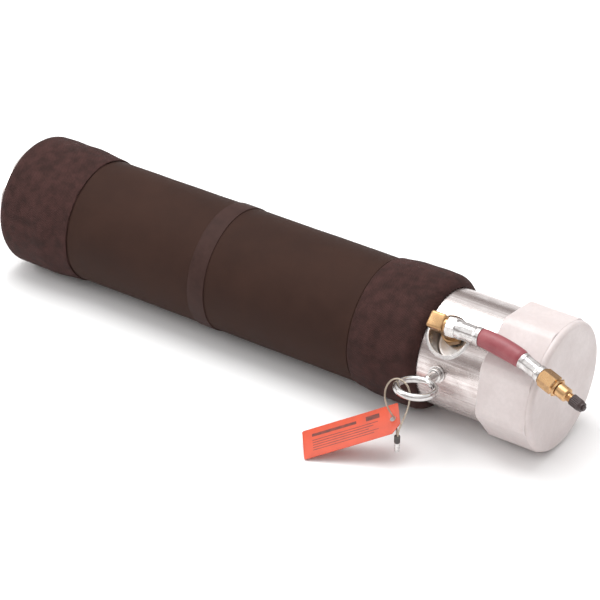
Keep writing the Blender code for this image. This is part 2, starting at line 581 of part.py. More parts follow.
def air_line(port, start_z):
    """Nylon line from the elbow to the port that feeds the sleeve, and that port."""
    corner = PORT_BLOCK_ACROSS / 2 / cos(pi / 6)
    block_top = sqrt(TUBE_BORE_RADIUS ** 2 - corner ** 2) - CLEARANCE
    block_bottom = block_top - PORT_BLOCK_DEPTH
    height = (block_top + block_bottom) / 2
    port_x = GALLERY_X - POCKET_X
    start = Vector((ELBOW_OFFSET.x, ELBOW_OFFSET.y, start_z - CLEARANCE))
    end = Vector((port_x + PORT_BLOCK_ACROSS / 2 + CLEARANCE, 0, height))
    drop = start_z - 0.0105
    handles = ((start, start - Vector((0, 0, 0.0110))),
               (Vector((start.x - 0.0120, start.y, drop)), None),
               (end, end + Vector((0.0160, 0, 0))))
    curve = bpy.data.curves.new("air_line", "CURVE")
    curve.dimensions = "3D"
    curve.resolution_u = 8
    curve.bevel_depth = AIR_LINE_RADIUS - AIR_LINE_WALL
    curve.bevel_resolution = 3
    spline = curve.splines.new("BEZIER")
    spline.bezier_points.add(2)
    first, middle, last = spline.bezier_points
    first.co = handles[0][0]
    first.handle_right = handles[0][1]
    first.handle_left = handles[0][0] + Vector((0, 0, 0.002))
    middle.co = handles[1][0]
    middle.handle_left = handles[1][0] + Vector((0.0070, 0, -0.0010))
    middle.handle_right = handles[1][0] + Vector((-0.0130, -0.0010, 0.0019))
    last.co = handles[2][0]
    last.handle_left = handles[2][1]
    last.handle_right = handles[2][0] - Vector((0.002, 0, 0))
    line = add("air_line", curve, port, "blue_nylon")
    wall = line.modifiers.new("wall", "SOLIDIFY")
    wall.thickness = AIR_LINE_WALL
    wall.offset = 1

    prism = hexagon("bladder_port", block_bottom, block_top, PORT_BLOCK_ACROSS, along="Z")
    prism.transform(Matrix.Rotation(radians(30), 4, "Z"))
    place = (port_x, 0, 0)
    block = add("bladder_port", prism, port, "brass", at=place)
    flange_z = TUBE_RADIUS + CLEARANCE
    neck = [(height, 0), (height, PORT_NECK_RADIUS),
            (flange_z, PORT_NECK_RADIUS), (flange_z, PORT_FLANGE_RADIUS),
            (flange_z + PORT_FLANGE_THICKNESS, PORT_FLANGE_RADIUS),
            (flange_z + PORT_FLANGE_THICKNESS, 0)]
    boolean(block, turned("port_neck", neck, SMALL_ROUND, "Z"), "UNION", at=place)
    bore = rod("port_bore", block_top - PORT_NECK_RADIUS, TUBE_RADIUS + CUT_MARGIN,
               PORT_BORE_RADIUS, TINY_ROUND, "Z")
    boolean(block, bore, "DIFFERENCE", at=place)


def hose_point(distance, side, height):
    """Where a point of the straight hose goes when the hose is bent."""
    along = min(max(distance - INNER_FERRULE_END_X, 0), HOSE_FREE_LENGTH)
    angle = along / BEND_RADIUS
    past = distance - INNER_FERRULE_END_X - along
    x = INNER_FERRULE_END_X + (BEND_RADIUS + side) * sin(angle) + past * cos(angle)
    y = BEND_RADIUS * (cos(angle) - 1) + side * cos(angle) - past * sin(angle)
    return Vector((x, y, height))


def hose(outlet):
    """Short red hose, pinched under both crimped ferrules."""
    start = HOSE_X + CLEARANCE
    free_end = INNER_FERRULE_END_X + HOSE_FREE_LENGTH
    end = free_end + OUTER_FERRULE_LENGTH - 2 * CLEARANCE
    pinch_in = INNER_FERRULE_RADIUS - FERRULE_WALL - CLEARANCE
    pinch_out = OUTER_FERRULE_RADIUS - FERRULE_WALL - CLEARANCE
    steps = HOSE_STEPS
    lip = CLEARANCE * 1.5
    free = [(INNER_FERRULE_END_X + lip, pinch_in)]
    first = INNER_FERRULE_END_X + HOSE_SWELL
    last = free_end - HOSE_SWELL
    free += [(first + (last - first) * i / steps, HOSE_RADIUS) for i in range(steps + 1)]
    free.append((free_end - lip, pinch_out))
    outline = [(start, HOSE_BORE_RADIUS), (start, pinch_in), *free, (end, pinch_out),
               (end, HOSE_BORE_RADIUS)]
    outline += [(free_end - HOSE_FREE_LENGTH * i / steps, HOSE_BORE_RADIUS)
                for i in range(steps + 1)]
    mesh = turned("inflation_hose", outline, SMALL_ROUND)
    for vert in mesh.vertices:
        vert.co = hose_point(*vert.co)
    add("inflation_hose", mesh, outlet, "red_rubber")


def ferrule(name, parent, start, length, radius):
    """Crimped steel ferrule with a rolled edge at each end."""
    lip = FERRULE_LIP
    edge = radius - FERRULE_LIP_DEPTH
    inner = radius - FERRULE_WALL
    outline = [(start, inner), (start, edge), (start + lip, radius),
               (start + length - lip, radius), (start + length, edge), (start + length, inner)]
    add(name, turned(name, outline, SMALL_ROUND), parent, "plated_steel")


def inner_tail(outlet):
    """Barbed tail inside the hose, with its head held in the swivel nut."""
    head_start = NUT_X + CLEARANCE
    head_end = NUT_X + NUT_LENGTH
    head_radius = TAIL_RADIUS + TAIL_HEAD_STEP
    barb_end = INNER_FERRULE_END_X - TAIL_END_GAP
    bore = ELBOW_BORE_RADIUS
    outline = [(head_start, bore), (head_start, head_radius), (head_end, head_radius),
               (head_end, TAIL_RADIUS - BARB_DEPTH)]
    pitch = (barb_end - head_end) / TAIL_BARBS
    for i in range(TAIL_BARBS):
        crest = head_end + pitch * (i + BARB_SLOPE)
        outline += [(crest, TAIL_RADIUS), (head_end + pitch * (i + 1), TAIL_RADIUS - BARB_DEPTH)]
    outline.append((barb_end, bore))
    add("inner_hose_tail", turned("inner_hose_tail", outline, SMALL_ROUND), outlet,
        "plated_steel")


def inflation_assembly(port):
    """Swivel nut, crimped hose and valve, along the outlet and then along the valve."""
    outlet = empty("outlet_frame", port, at=(0, ELBOW_OFFSET.y, OUTLET_HEIGHT))
    nut_bore = TAIL_RADIUS + CLEARANCE + NUT_ROOM
    prism, bore = hexagon("swivel_nut", NUT_X, NUT_X + NUT_LENGTH, NUT_ACROSS, nut_bore)
    nut = add("swivel_nut", prism, outlet, "plated_steel")
    boolean(nut, bore, "DIFFERENCE")
    inner_tail(outlet)
    ferrule("inner_ferrule", outlet, HOSE_X, INNER_FERRULE_LENGTH, INNER_FERRULE_RADIUS)
    hose(outlet)

    bend_end = hose_point(INNER_FERRULE_END_X + HOSE_FREE_LENGTH, 0, 0)
    valve = empty("valve_frame", outlet, at=bend_end, turn=(0, 0, -HOSE_BEND))
    ferrule("outer_ferrule", valve, 0, OUTER_FERRULE_LENGTH, OUTER_FERRULE_RADIUS)
    outer_tail(valve)
    valve_adapter(valve)
    valve_stem(valve)
    valve_core(valve)
    valve_cap(valve)


def outer_tail(valve):
    """Tail that joins the hose to the adapter; its barbs face back into the hose."""
    bore = ELBOW_BORE_RADIUS
    barb_end = ADAPTER_X - STUB_RECESS
    head = ADAPTER_X + ADAPTER_SOCKET_DEPTH - CLEARANCE
    pitch = (barb_end - TAIL_END_GAP) / TAIL_BARBS
    outline = [(TAIL_END_GAP, bore), (TAIL_END_GAP, TAIL_RADIUS - BARB_DEPTH)]
    for i in range(TAIL_BARBS):
        outline += [(TAIL_END_GAP + pitch * (i + 1 - BARB_SLOPE), TAIL_RADIUS),
                    (TAIL_END_GAP + pitch * (i + 1), TAIL_RADIUS - BARB_DEPTH)]
    outline += [(barb_end, TAIL_RADIUS), (head, TAIL_RADIUS), (head, bore)]
    add("outer_hose_tail", turned("outer_hose_tail", outline, SMALL_ROUND), valve,
        "plated_steel")


def valve_adapter(valve):
    """Brass hexagon between the hose tail and the valve stem."""
    end = ADAPTER_X + ADAPTER_LENGTH
    prism = hexagon("valve_adapter", ADAPTER_X, end, ADAPTER_ACROSS, chamfer=ADAPTER_EDGE)
    adapter = add("valve_adapter", prism, valve, "brass")
    before = ADAPTER_X - CUT_MARGIN
    socket = [(before, 0), (before, TAIL_RADIUS + CLEARANCE),
              (ADAPTER_X + ADAPTER_SOCKET_DEPTH, TAIL_RADIUS + CLEARANCE),
              (ADAPTER_X + ADAPTER_SOCKET_DEPTH, ELBOW_BORE_RADIUS),
              (end + CUT_MARGIN, ELBOW_BORE_RADIUS), (end + CUT_MARGIN, 0)]
    boolean(adapter, turned("adapter_bore", socket, SMALL_ROUND), "DIFFERENCE")


def valve_stem(valve):
    """Brass stem with a wide base and a thread that the valve cap screws on."""
    bore_end = SPRING_SEAT_X - CLEARANCE
    outline = [(STEM_X, STEM_PASSAGE_RADIUS), (STEM_X, STEM_BASE_RADIUS),
               (THREAD_X - STEM_BASE_CHAMFER, STEM_BASE_RADIUS),
               (THREAD_X, STEM_BASE_RADIUS - STEM_BASE_SLOPE), (THREAD_X, STEM_THREAD_RADIUS),
               (STEM_END_X - EDGE, STEM_THREAD_RADIUS), (STEM_END_X, STEM_THREAD_RADIUS - EDGE),
               (STEM_END_X, STEM_BORE_RADIUS), (bore_end, STEM_BORE_RADIUS),
               (bore_end, STEM_PASSAGE_RADIUS)]
    add("valve_stem", turned("valve_stem", outline, SMALL_ROUND), valve, "brass")


def valve_core(valve):
    """Core sleeve, the sprung pin that opens the valve and its spring."""
    core_start = CORE_END_X - CORE_LENGTH
    core = ring("valve_core_body", core_start, CORE_END_X, PIN_RADIUS + CLEARANCE, CORE_RADIUS,
                TINY_ROUND)
    add("valve_core_body", core, valve, "brass")
    collar_end = core_start - CLEARANCE
    collar_start = collar_end - PIN_COLLAR_LENGTH
    tail = SPRING_SEAT_X + PIN_TAIL_START
    tip = CORE_END_X + PIN_TIP
    outline = [(tail, 0), (tail, PIN_RADIUS), (collar_start, PIN_RADIUS),
               (collar_start, PIN_COLLAR_RADIUS), (collar_end, PIN_COLLAR_RADIUS),
               (collar_end, PIN_RADIUS), (tip, PIN_RADIUS), (tip, 0)]
    add("valve_core_pin", turned("valve_core_pin", outline, TINY_ROUND), valve, "plated_steel")
    first = SPRING_SEAT_X + SPRING_WIRE_RADIUS
    last = collar_start - CLEARANCE - SPRING_WIRE_RADIUS
    count = SPRING_TURNS * SPRING_TURN_STEPS
    curve = bpy.data.curves.new("valve_core_spring", "CURVE")
    curve.dimensions = "3D"
    curve.bevel_depth = SPRING_WIRE_RADIUS
    curve.bevel_resolution = 1
    curve.use_fill_caps = True
    spline = curve.splines.new("POLY")
    spline.points.add(count)
    for i, point in enumerate(spline.points):
        angle = 2 * pi * i / SPRING_TURN_STEPS
        x = first + (last - first) * i / count
        point.co = (x, SPRING_RADIUS * cos(angle), SPRING_RADIUS * sin(angle), 1)
    add("valve_core_spring", curve, valve, "plated_steel")


def valve_cap(valve):
    """Black cap over the valve, and the washer inside it."""
    inner = STEM_THREAD_RADIUS + CLEARANCE
    end = VALVE_CAP_SEAT_X + VALVE_CAP_END
    dome = [(end - back, VALVE_CAP_RADIUS - inward) for back, inward in VALVE_CAP_DOME]
    outline = [(VALVE_CAP_X, inner), (VALVE_CAP_X, VALVE_CAP_RADIUS - EDGE),
               (VALVE_CAP_X + VALVE_CAP_MOUTH_EDGE, VALVE_CAP_RADIUS), *dome,
               (end, VALVE_CAP_TIP_RADIUS), (end, 0), (VALVE_CAP_SEAT_X, 0),
               (VALVE_CAP_SEAT_X, inner)]
    add("valve_cap", turned("valve_cap", outline, SMALL_ROUND), valve, "black_plastic")
    start = STEM_END_X + CLEARANCE
    washer = ring("valve_cap_washer", start, start + VALVE_CAP_WASHER,
                  VALVE_WASHER_BORE_RADIUS, STEM_THREAD_RADIUS, TINY_ROUND)
    add("valve_cap_washer", washer, valve, "seal_rubber")


def eye_bolt(eye):
    """Eye bolt through the tube's wall, with its washers and inner nut."""
    washer_z = TUBE_RADIUS + CLEARANCE
    collar_z = washer_z + WASHER_THICKNESS + CLEARANCE
    collar_top = collar_z + EYE_COLLAR_THICKNESS
    wall_inside = sqrt(TUBE_BORE_RADIUS ** 2 - INNER_WASHER_RADIUS ** 2) - CLEARANCE
    nut_top = wall_inside - WASHER_THICKNESS - CLEARANCE
    shank_end = nut_top - EYE_NUT_THICKNESS - EYE_SHANK_END
    bar_z = EYE_HEIGHT - EYE_RING_RADIUS
    bpy.ops.mesh.primitive_torus_add(major_segments=48, minor_segments=16,
                                     major_radius=EYE_RING_RADIUS, minor_radius=EYE_BAR_RADIUS)
    bolt = bpy.context.object
    bolt.name = "eye_bolt"
    bolt.data.name = "eye_bolt"
    bolt.data.transform(Matrix.Rotation(pi / 2, 4, "X"))
    bolt.data.transform(Matrix.Translation((0, 0, EYE_HEIGHT)))
    bolt.parent = eye
    bolt.data.materials.append(material("eye_bolt", "plated_steel"))
    dome = EYE_COLLAR_DOME
    outline = [(shank_end, 0), (shank_end, EYE_SHANK_RADIUS - EYE_SHANK_EDGE),
               (shank_end + EYE_SHANK_EDGE, EYE_SHANK_RADIUS), (collar_z, EYE_SHANK_RADIUS),
               (collar_z, EYE_COLLAR_RADIUS - EDGE), (collar_z + EDGE, EYE_COLLAR_RADIUS),
               (collar_top - dome, EYE_COLLAR_RADIUS), (collar_top, EYE_COLLAR_RADIUS - dome),
               (collar_top + dome, EYE_NECK_RADIUS),
               (bar_z - EYE_NECK_TAPER, EYE_NECK_RADIUS - dome), (bar_z, EYE_ROOT_RADIUS),
               (bar_z, 0)]
    boolean(bolt, turned("eye_shank", outline, SMALL_ROUND, "Z"), "UNION")
    hole = EYE_SHANK_RADIUS + CLEARANCE
    outer = ring("eye_outer_washer", washer_z, washer_z + WASHER_THICKNESS, hole, WASHER_RADIUS,
                 SMALL_ROUND, "Z")
    add("eye_outer_washer", outer, eye, "stainless")
    inner = ring("eye_inner_washer", nut_top + CLEARANCE, wall_inside, hole, INNER_WASHER_RADIUS,
                 SMALL_ROUND, "Z")
    add("eye_inner_washer", inner, eye, "stainless")
    prism, bore = hexagon("eye_nut", nut_top - EYE_NUT_THICKNESS, nut_top, EYE_NUT_ACROSS, hole,
                          "Z")
    nut = add("eye_nut", prism, eye, "plated_steel")
    boolean(nut, bore, "DIFFERENCE")


def tag(ring):
    """Flat tag with one hole and a cut corner."""
    end = TAG_HOLE_INSET
    half = TAG_WIDTH / 2
    start = end - TAG_LENGTH
    corner = TAG_CORNER
    outline = ((start + corner, -half), (end - TAG_CORNER_CUT, -half),
               (end, -half + TAG_CORNER_CUT), (end, half - corner), (end - corner, half),
               (start + corner, half), (start, half - corner), (start, -half + corner))
    shape = bmesh.new()
    verts = [shape.verts.new((x, y, -TAG_THICKNESS / 2)) for x, y in outline]
    face = shape.faces.new(verts)
    grown = bmesh.ops.extrude_face_region(shape, geom=[face])
    moved = [item for item in grown["geom"] if isinstance(item, bmesh.types.BMVert)]
    bmesh.ops.translate(shape, verts=moved, vec=(0, 0, TAG_THICKNESS))
    plate = add("tag_plate", finished("tag_plate", shape), ring, "orange_vinyl", at=TAG_HOLE,
                turn=TAG_TURN)
    hole = rod("tag_hole", -CUT_MARGIN, CUT_MARGIN, TAG_HOLE_RADIUS, SMALL_ROUND, "Z")
    boolean(plate, hole, "DIFFERENCE", at=TAG_HOLE, turn=TAG_TURN)


def smooth_route(points, steps):
    """Catmull-Rom points through a route."""
    ends = [points[0] * 2 - points[1], *points, points[-1] * 2 - points[-2]]
    route = []
    for a, b, c, d in zip(ends, ends[1:], ends[2:], ends[3:]):
        for i in range(steps):
            t = i / steps
            route.append(((b * 2) + (c - a) * t + (a * 2 - b * 5 + c * 4 - d) * t ** 2
                          + (b * 3 - a - c * 3 + d) * t ** 3) / 2)
    return route + [points[-1]]


def lanyard(ring):
    """Wire loop through the eye and the tag, closed by a crimp."""
    points = [Vector(point) / 1000 for point in WIRE_ROUTE]
    route = smooth_route(points, WIRE_STEPS)
    curve = bpy.data.curves.new("tag_wire", "CURVE")
    curve.dimensions = "3D"
    curve.bevel_depth = WIRE_RADIUS
    curve.bevel_resolution = 2
    curve.use_fill_caps = True
    spline = curve.splines.new("POLY")
    spline.points.add(len(route) - 1)
    for point, place in zip(spline.points, route):
        point.co = (*place, 1)
    add("tag_wire", curve, ring, "stainless")
    cover = rod("crimp_cover", -CRIMP_COVER_LENGTH, 0, CRIMP_COVER_RADIUS, along="Z")
    add("crimp_cover", cover, ring, "crimp_cover", at=CRIMP_TOP)
    crimp_start = CRIMP_COVER_LENGTH + CLEARANCE
    crimp = rod("wire_crimp", -crimp_start - CRIMP_LENGTH, -crimp_start, CRIMP_RADIUS, along="Z")
    add("wire_crimp", crimp, ring, "plated_steel", at=CRIMP_TOP)


def main():
    for old in list(bpy.data.objects):
        bpy.data.objects.remove(old, do_unlink=True)
    axis = empty("plug_axis", at=(-CENTRE_X, -CENTRE_Y, -FLOOR_Z))
    port = empty("port_frame", axis, at=(POCKET_X, 0, 0), turn=(pi / 2 - POCKET_ANGLE, 0, 0))
    eye = empty("eye_frame", axis, at=(EYE_X, 0, 0), turn=(pi / 2 - EYE_ANGLE, 0, 0))
    bypass_tube(axis, port, eye)
    rubber_sleeve(axis)
    cuff("rear_cuff", axis, SLEEVE_REAR_X, REAR_CUFF_LENGTH, 1)
    cuff("front_cuff", axis, SLEEVE_FRONT_X, FRONT_CUFF_LENGTH, -1)
    bands(axis)
    end_cap(axis)
    port_pocket(port)
    stub_z = port_elbow(port)
    air_line(port, stub_z)
    inflation_assembly(port)
    eye_bolt(eye)
    ring = empty("ring_frame", axis, at=(EYE_X, -EYE_HEIGHT * cos(EYE_ANGLE),
                                         EYE_HEIGHT * sin(EYE_ANGLE)))
    tag(ring)
    lanyard(ring)


main()
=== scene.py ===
"""Looks of an inflatable flow-through pipe plug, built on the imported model.

Metres, +Z up. Round pieces are made along the X axis of the frame they sit in, and then
moved into the model's frame, so that each object stays at the origin.
"""

import json
from math import atan2, cos, exp, hypot, log, pi, radians, sin, sqrt, tau

import bmesh
import bpy
from mathutils import Euler, Matrix, Vector, noise

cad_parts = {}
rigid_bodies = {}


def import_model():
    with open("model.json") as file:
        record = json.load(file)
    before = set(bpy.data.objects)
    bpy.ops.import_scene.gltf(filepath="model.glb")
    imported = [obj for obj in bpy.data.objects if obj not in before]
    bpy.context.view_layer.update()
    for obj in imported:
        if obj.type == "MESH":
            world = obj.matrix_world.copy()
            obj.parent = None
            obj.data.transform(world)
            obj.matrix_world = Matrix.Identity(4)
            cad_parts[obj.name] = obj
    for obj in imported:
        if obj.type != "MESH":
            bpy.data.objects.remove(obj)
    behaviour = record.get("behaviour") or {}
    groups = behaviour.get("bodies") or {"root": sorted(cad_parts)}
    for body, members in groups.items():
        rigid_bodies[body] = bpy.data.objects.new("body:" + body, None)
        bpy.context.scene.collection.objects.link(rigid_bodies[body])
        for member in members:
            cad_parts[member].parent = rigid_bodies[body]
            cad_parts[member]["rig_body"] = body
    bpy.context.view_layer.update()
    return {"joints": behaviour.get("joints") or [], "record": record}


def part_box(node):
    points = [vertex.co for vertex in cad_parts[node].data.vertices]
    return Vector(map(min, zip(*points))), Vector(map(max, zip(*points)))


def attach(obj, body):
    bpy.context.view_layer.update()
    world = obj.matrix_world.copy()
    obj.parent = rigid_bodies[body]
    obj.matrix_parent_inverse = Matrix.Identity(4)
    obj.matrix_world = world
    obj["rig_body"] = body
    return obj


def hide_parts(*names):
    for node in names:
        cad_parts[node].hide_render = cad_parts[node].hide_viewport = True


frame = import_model()

# ---------------------------------------------------------------- frames
joints = {joint["name"]: joint for joint in frame["joints"]}
mounts = {mount["name"]: mount for mount in frame["record"]["mounts"]}
centre = Vector(joints["cap_turn"]["pos_m"])
AXIS = Matrix.Translation(centre)


def span(node):
    """Where a piece of the plug starts and ends along the plug's axis."""
    low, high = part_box(node)
    return low.x - centre.x, high.x - centre.x


def reach(node):
    """Largest radius of a piece that is round about the plug's axis."""
    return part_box(node)[1].z - centre.z


PORT_ANGLE = radians(47)          # above horizontal, on the -Y side
PORT_X = sum(span("port_pocket")) / 2
ELBOW_X = -0.0045                 # elbow's centre from the pocket's centre
ELBOW_Y = 0.0040
OUTLET_HEIGHT = 0.0690            # hose centre above the plug's axis
PORT = AXIS @ Matrix.Translation((PORT_X, 0, 0)) @ Matrix.Rotation(pi / 2 - PORT_ANGLE, 4, "X")
ELBOW = PORT @ Matrix.Translation((ELBOW_X, ELBOW_Y, 0))
OUTLET = PORT @ Matrix.Translation((0, ELBOW_Y, OUTLET_HEIGHT))

valve_x = Vector(joints["valve_cap_turn"]["axis"])
valve_z = PORT.to_3x3() @ Vector((0, 0, 1))
valve_y = valve_z.cross(valve_x)
VALVE = Matrix((valve_x, valve_y, valve_z)).transposed().to_4x4()
VALVE.translation = Vector(joints["valve_cap_turn"]["pos_m"])

eye_centre = Vector(mounts["lifting_eye"]["pos_m"])
eye_out = Vector((0, eye_centre.y - centre.y, eye_centre.z - centre.z))
EYE_HEIGHT = eye_out.length
EYE = Matrix.Translation((eye_centre.x, centre.y, centre.z)) @ Matrix.Rotation(
    atan2(-eye_out.y, eye_out.z), 4, "X")

TAG_TURN = Euler((radians(17), radians(-22.5), radians(31)))
TAG_HOLE = Vector((-0.03065, -0.0883, -0.02385))
TAG = Matrix.Translation(centre + TAG_HOLE) @ TAG_TURN.to_matrix().to_4x4()

UPRIGHT = Matrix.Rotation(-pi / 2, 4, "Y")   # turns a piece made along X to stand along Z

# ---------------------------------------------------------------- camera
camera_data = bpy.data.cameras.new("camera")
camera_data.lens = 153.6
camera = bpy.data.objects.new("camera", camera_data)
bpy.context.scene.collection.objects.link(camera)
CAMERA_PLACE = Vector((1.045789, -1.540089, 1.261200))
CAMERA_BEARING = radians(34.04)   # camera's place round the plug, from -Y towards +X
CAMERA_DROP = radians(32.73)      # how far it looks down
camera.location = CAMERA_PLACE
camera.rotation_euler = (pi / 2 - CAMERA_DROP, 0, CAMERA_BEARING)
bpy.context.scene.camera = camera


# ---------------------------------------------------------------- node helpers
def put(tree, kind, settings=None, **inputs):
    """Add a node; an input is a value or the socket that feeds it."""
    made = tree.nodes.new(kind)
    for key, value in (settings or {}).items():
        setattr(made, key, value)
    for key, value in inputs.items():
        name = key.replace("_", " ")
        socket = made.inputs[int(key[1:])] if key[0] == "i" and key[1:].isdigit() else made.inputs[name]
        if isinstance(value, bpy.types.NodeSocket):
            tree.links.new(value, socket)
        else:
            socket.default_value = value
    return made


def reckon(tree, operation, first, second=0.0, third=0.0, clamp=False):
    """A Math node's result."""
    made = put(tree, "ShaderNodeMath", {"operation": operation, "use_clamp": clamp},
               i0=first, i1=second, i2=third)
    return made.outputs[0]


def blend_colour(tree, factor, first, second, kind="MIX"):
    """A colour between two, by a factor."""
    made = tree.nodes.new("ShaderNodeMix")
    made.data_type = "RGBA"
    made.blend_type = kind
    for socket, value in ((made.inputs[0], factor), (made.inputs[6], first), (made.inputs[7], second)):
        if isinstance(value, bpy.types.NodeSocket):
            tree.links.new(value, socket)
        elif socket.type == "RGBA":
            socket.default_value = (*value[:3], 1)
        else:
            socket.default_value = value
    return made.outputs[2]


def ramp_value(tree, value, low, high, out_low=0.0, out_high=1.0):
    """A smooth step of a value from one range to another."""
    made = put(tree, "ShaderNodeMapRange", {"interpolation_type": "SMOOTHSTEP"}, Value=value,
               From_Min=low, From_Max=high, To_Min=out_low, To_Max=out_high)
    return made.outputs[0]


def group(name, inputs, outputs):
    """An empty node group with float inputs and outputs; returns it with its two ends."""
    tree = bpy.data.node_groups.new(name, "ShaderNodeTree")
    for label, value in inputs.items():
        kind = "NodeSocketVector" if isinstance(value, tuple) else "NodeSocketFloat"
        socket = tree.interface.new_socket(label, in_out="INPUT", socket_type=kind)
        socket.default_value = value
    for label in outputs:
        tree.interface.new_socket(label, in_out="OUTPUT", socket_type="NodeSocketFloat")
    return tree, tree.nodes.new("NodeGroupInput"), tree.nodes.new("NodeGroupOutput")


def use(tree, effect, **inputs):
    """Place a shared effect in a material with its own values."""
    made = tree.nodes.new("ShaderNodeGroup")
    made.node_tree = effect
    for key, value in inputs.items():
        socket = made.inputs[key.replace("_", " ")]
        if isinstance(value, bpy.types.NodeSocket):
            tree.links.new(value, socket)
        else:
            socket.default_value = value
    return made


# ---------------------------------------------------------------- shared effects
def smudges():
    """Broad soft patches, as from handling and dust."""
    tree, start, end = group("smudges", {"Size": 0.03, "Contrast": 0.5}, ["Mask"])
    coords = tree.nodes.new("ShaderNodeTexCoord")
    scale = reckon(tree, "DIVIDE", 1.0, start.outputs["Size"])
    broad = put(tree, "ShaderNodeTexNoise", Vector=coords.outputs["Object"], Scale=scale,
                Detail=4.0, Roughness=0.6)
    half = reckon(tree, "MULTIPLY", start.outputs["Contrast"], 0.35)
    low = reckon(tree, "SUBTRACT", 0.5, reckon(tree, "SUBTRACT", 0.4, half))
    high = reckon(tree, "ADD", 0.5, reckon(tree, "SUBTRACT", 0.4, half))
    made = ramp_value(tree, broad.outputs[0], low, high)
    tree.links.new(made, end.inputs["Mask"])
    return tree


def grain():
    """Fine moulded or blasted grain, as a height."""
    tree, start, end = group("grain", {"Size": 0.0005}, ["Height"])
    coords = tree.nodes.new("ShaderNodeTexCoord")
    scale = reckon(tree, "DIVIDE", 1.0, start.outputs["Size"])
    fine = put(tree, "ShaderNodeTexNoise", Vector=coords.outputs["Object"], Scale=scale,
               Detail=3.0, Roughness=0.65)
    tree.links.new(fine.outputs[0], end.inputs["Height"])
    return tree


def cloth_mark():
    """The print of a woven wrap on cured rubber: threads round the piece and along it, with a mask of its
    pits for painted shade.
    """
    tree, start, end = group("cloth mark", {"Threads": 400.0, "Pitch": 0.001, "Lay": 0.0},
                             ["Height", "Pit shade"])
    uv = put(tree, "ShaderNodeUVMap", {"uv_map": "wrap"})
    parts = put(tree, "ShaderNodeSeparateXYZ", Vector=uv.outputs[0])
    turn = reckon(tree, "MULTIPLY", parts.outputs[0], start.outputs["Threads"])
    along = reckon(tree, "DIVIDE", parts.outputs[1], start.outputs["Pitch"])
    along = reckon(tree, "ADD", along, reckon(tree, "MULTIPLY", turn, start.outputs["Lay"]))
    warp = reckon(tree, "SINE", reckon(tree, "MULTIPLY", turn, tau))
    weft = reckon(tree, "SINE", reckon(tree, "MULTIPLY", along, tau))
    over = reckon(tree, "MULTIPLY", warp, weft)
    tree.links.new(ramp_value(tree, over, -0.8, 0.8), end.inputs["Height"])
    # the second output marks the weave's pits, where painted shade goes
    tree.links.new(ramp_value(tree, over, 0.45, 0.9), end.inputs["Pit shade"])
    return tree


def drawn_lines():
    """Fine lines along a drawn or turned surface, in the direction of the stretch."""
    tree, start, end = group("drawn lines", {"Stretch": (1.0, 40.0, 40.0), "Size": 0.01},
                             ["Height", "Tone"])
    coords = tree.nodes.new("ShaderNodeTexCoord")
    squeezed = put(tree, "ShaderNodeVectorMath", {"operation": "MULTIPLY"},
                   i0=coords.outputs["Object"], i1=start.outputs["Stretch"])
    scale = reckon(tree, "DIVIDE", 1.0, start.outputs["Size"])
    fine = put(tree, "ShaderNodeTexNoise", Vector=squeezed.outputs[0], Scale=scale, Detail=5.0,
               Roughness=0.7)
    broad = put(tree, "ShaderNodeTexNoise", Vector=squeezed.outputs[0],
                Scale=reckon(tree, "MULTIPLY", scale, 0.15), Detail=2.0)
    tree.links.new(fine.outputs[0], end.inputs["Height"])
    tree.links.new(ramp_value(tree, broad.outputs[0], 0.3, 0.7), end.inputs["Tone"])
    return tree


def turned_lines():
    """Tool marks round a turned piece, from the piece's own wrap map."""
    tree, start, end = group("turned lines", {"Pitch": 0.0003}, ["Height"])
    uv = put(tree, "ShaderNodeUVMap", {"uv_map": "wrap"})
    parts = put(tree, "ShaderNodeSeparateXYZ", Vector=uv.outputs[0])
    rows = reckon(tree, "DIVIDE", parts.outputs[1], start.outputs["Pitch"])
    made = put(tree, "ShaderNodeTexNoise", {"noise_dimensions": "1D"}, W=rows, Scale=1.0,
               Detail=2.0)
    tree.links.new(made.outputs[0], end.inputs["Height"])
    return tree


def edge_rub():
    """Where an outside edge has been rubbed; reads the piece's own edge mark."""
    tree, start, end = group("edge rub", {"Breakup": 0.002}, ["Mask"])
    mark = put(tree, "ShaderNodeAttribute", {"attribute_name": "edge"})
    coords = tree.nodes.new("ShaderNodeTexCoord")
    scale = reckon(tree, "DIVIDE", 1.0, start.outputs["Breakup"])
    patches = put(tree, "ShaderNodeTexNoise", Vector=coords.outputs["Object"], Scale=scale,
                  Detail=3.0)
    worn = reckon(tree, "MULTIPLY", mark.outputs["Fac"], ramp_value(tree, patches.outputs[0], 0.35, 0.7))
    tree.links.new(worn, end.inputs["Mask"])
    return tree


SMUDGES = smudges()
GRAIN = grain()
CLOTH_MARK = cloth_mark()
DRAWN_LINES = drawn_lines()
TURNED_LINES = turned_lines()
EDGE_RUB = edge_rub()


# ---------------------------------------------------------------- materials
def finish_of(name, metallic=0.0, **constants):
    """A material, its tree and its shader, with the shader's plain values set."""
    made = bpy.data.materials.new(name)
    made.use_nodes = True
    tree = made.node_tree
    shader = tree.nodes["Principled BSDF"]
    shader.inputs["Metallic"].default_value = metallic
    for key, value in constants.items():
        shader.inputs[key.replace("_", " ")].default_value = value
    return made, tree, shader


def bump(tree, shader, height, distance, strength=1.0, under=None):
    """Feed a height to the shader's normal; returns the bump for another to build on."""
    made = put(tree, "ShaderNodeBump", Height=height, Distance=distance, Strength=strength)
    if under:
        tree.links.new(under.outputs[0], made.inputs["Normal"])
    tree.links.new(made.outputs[0], shader.inputs["Normal"])
    return made


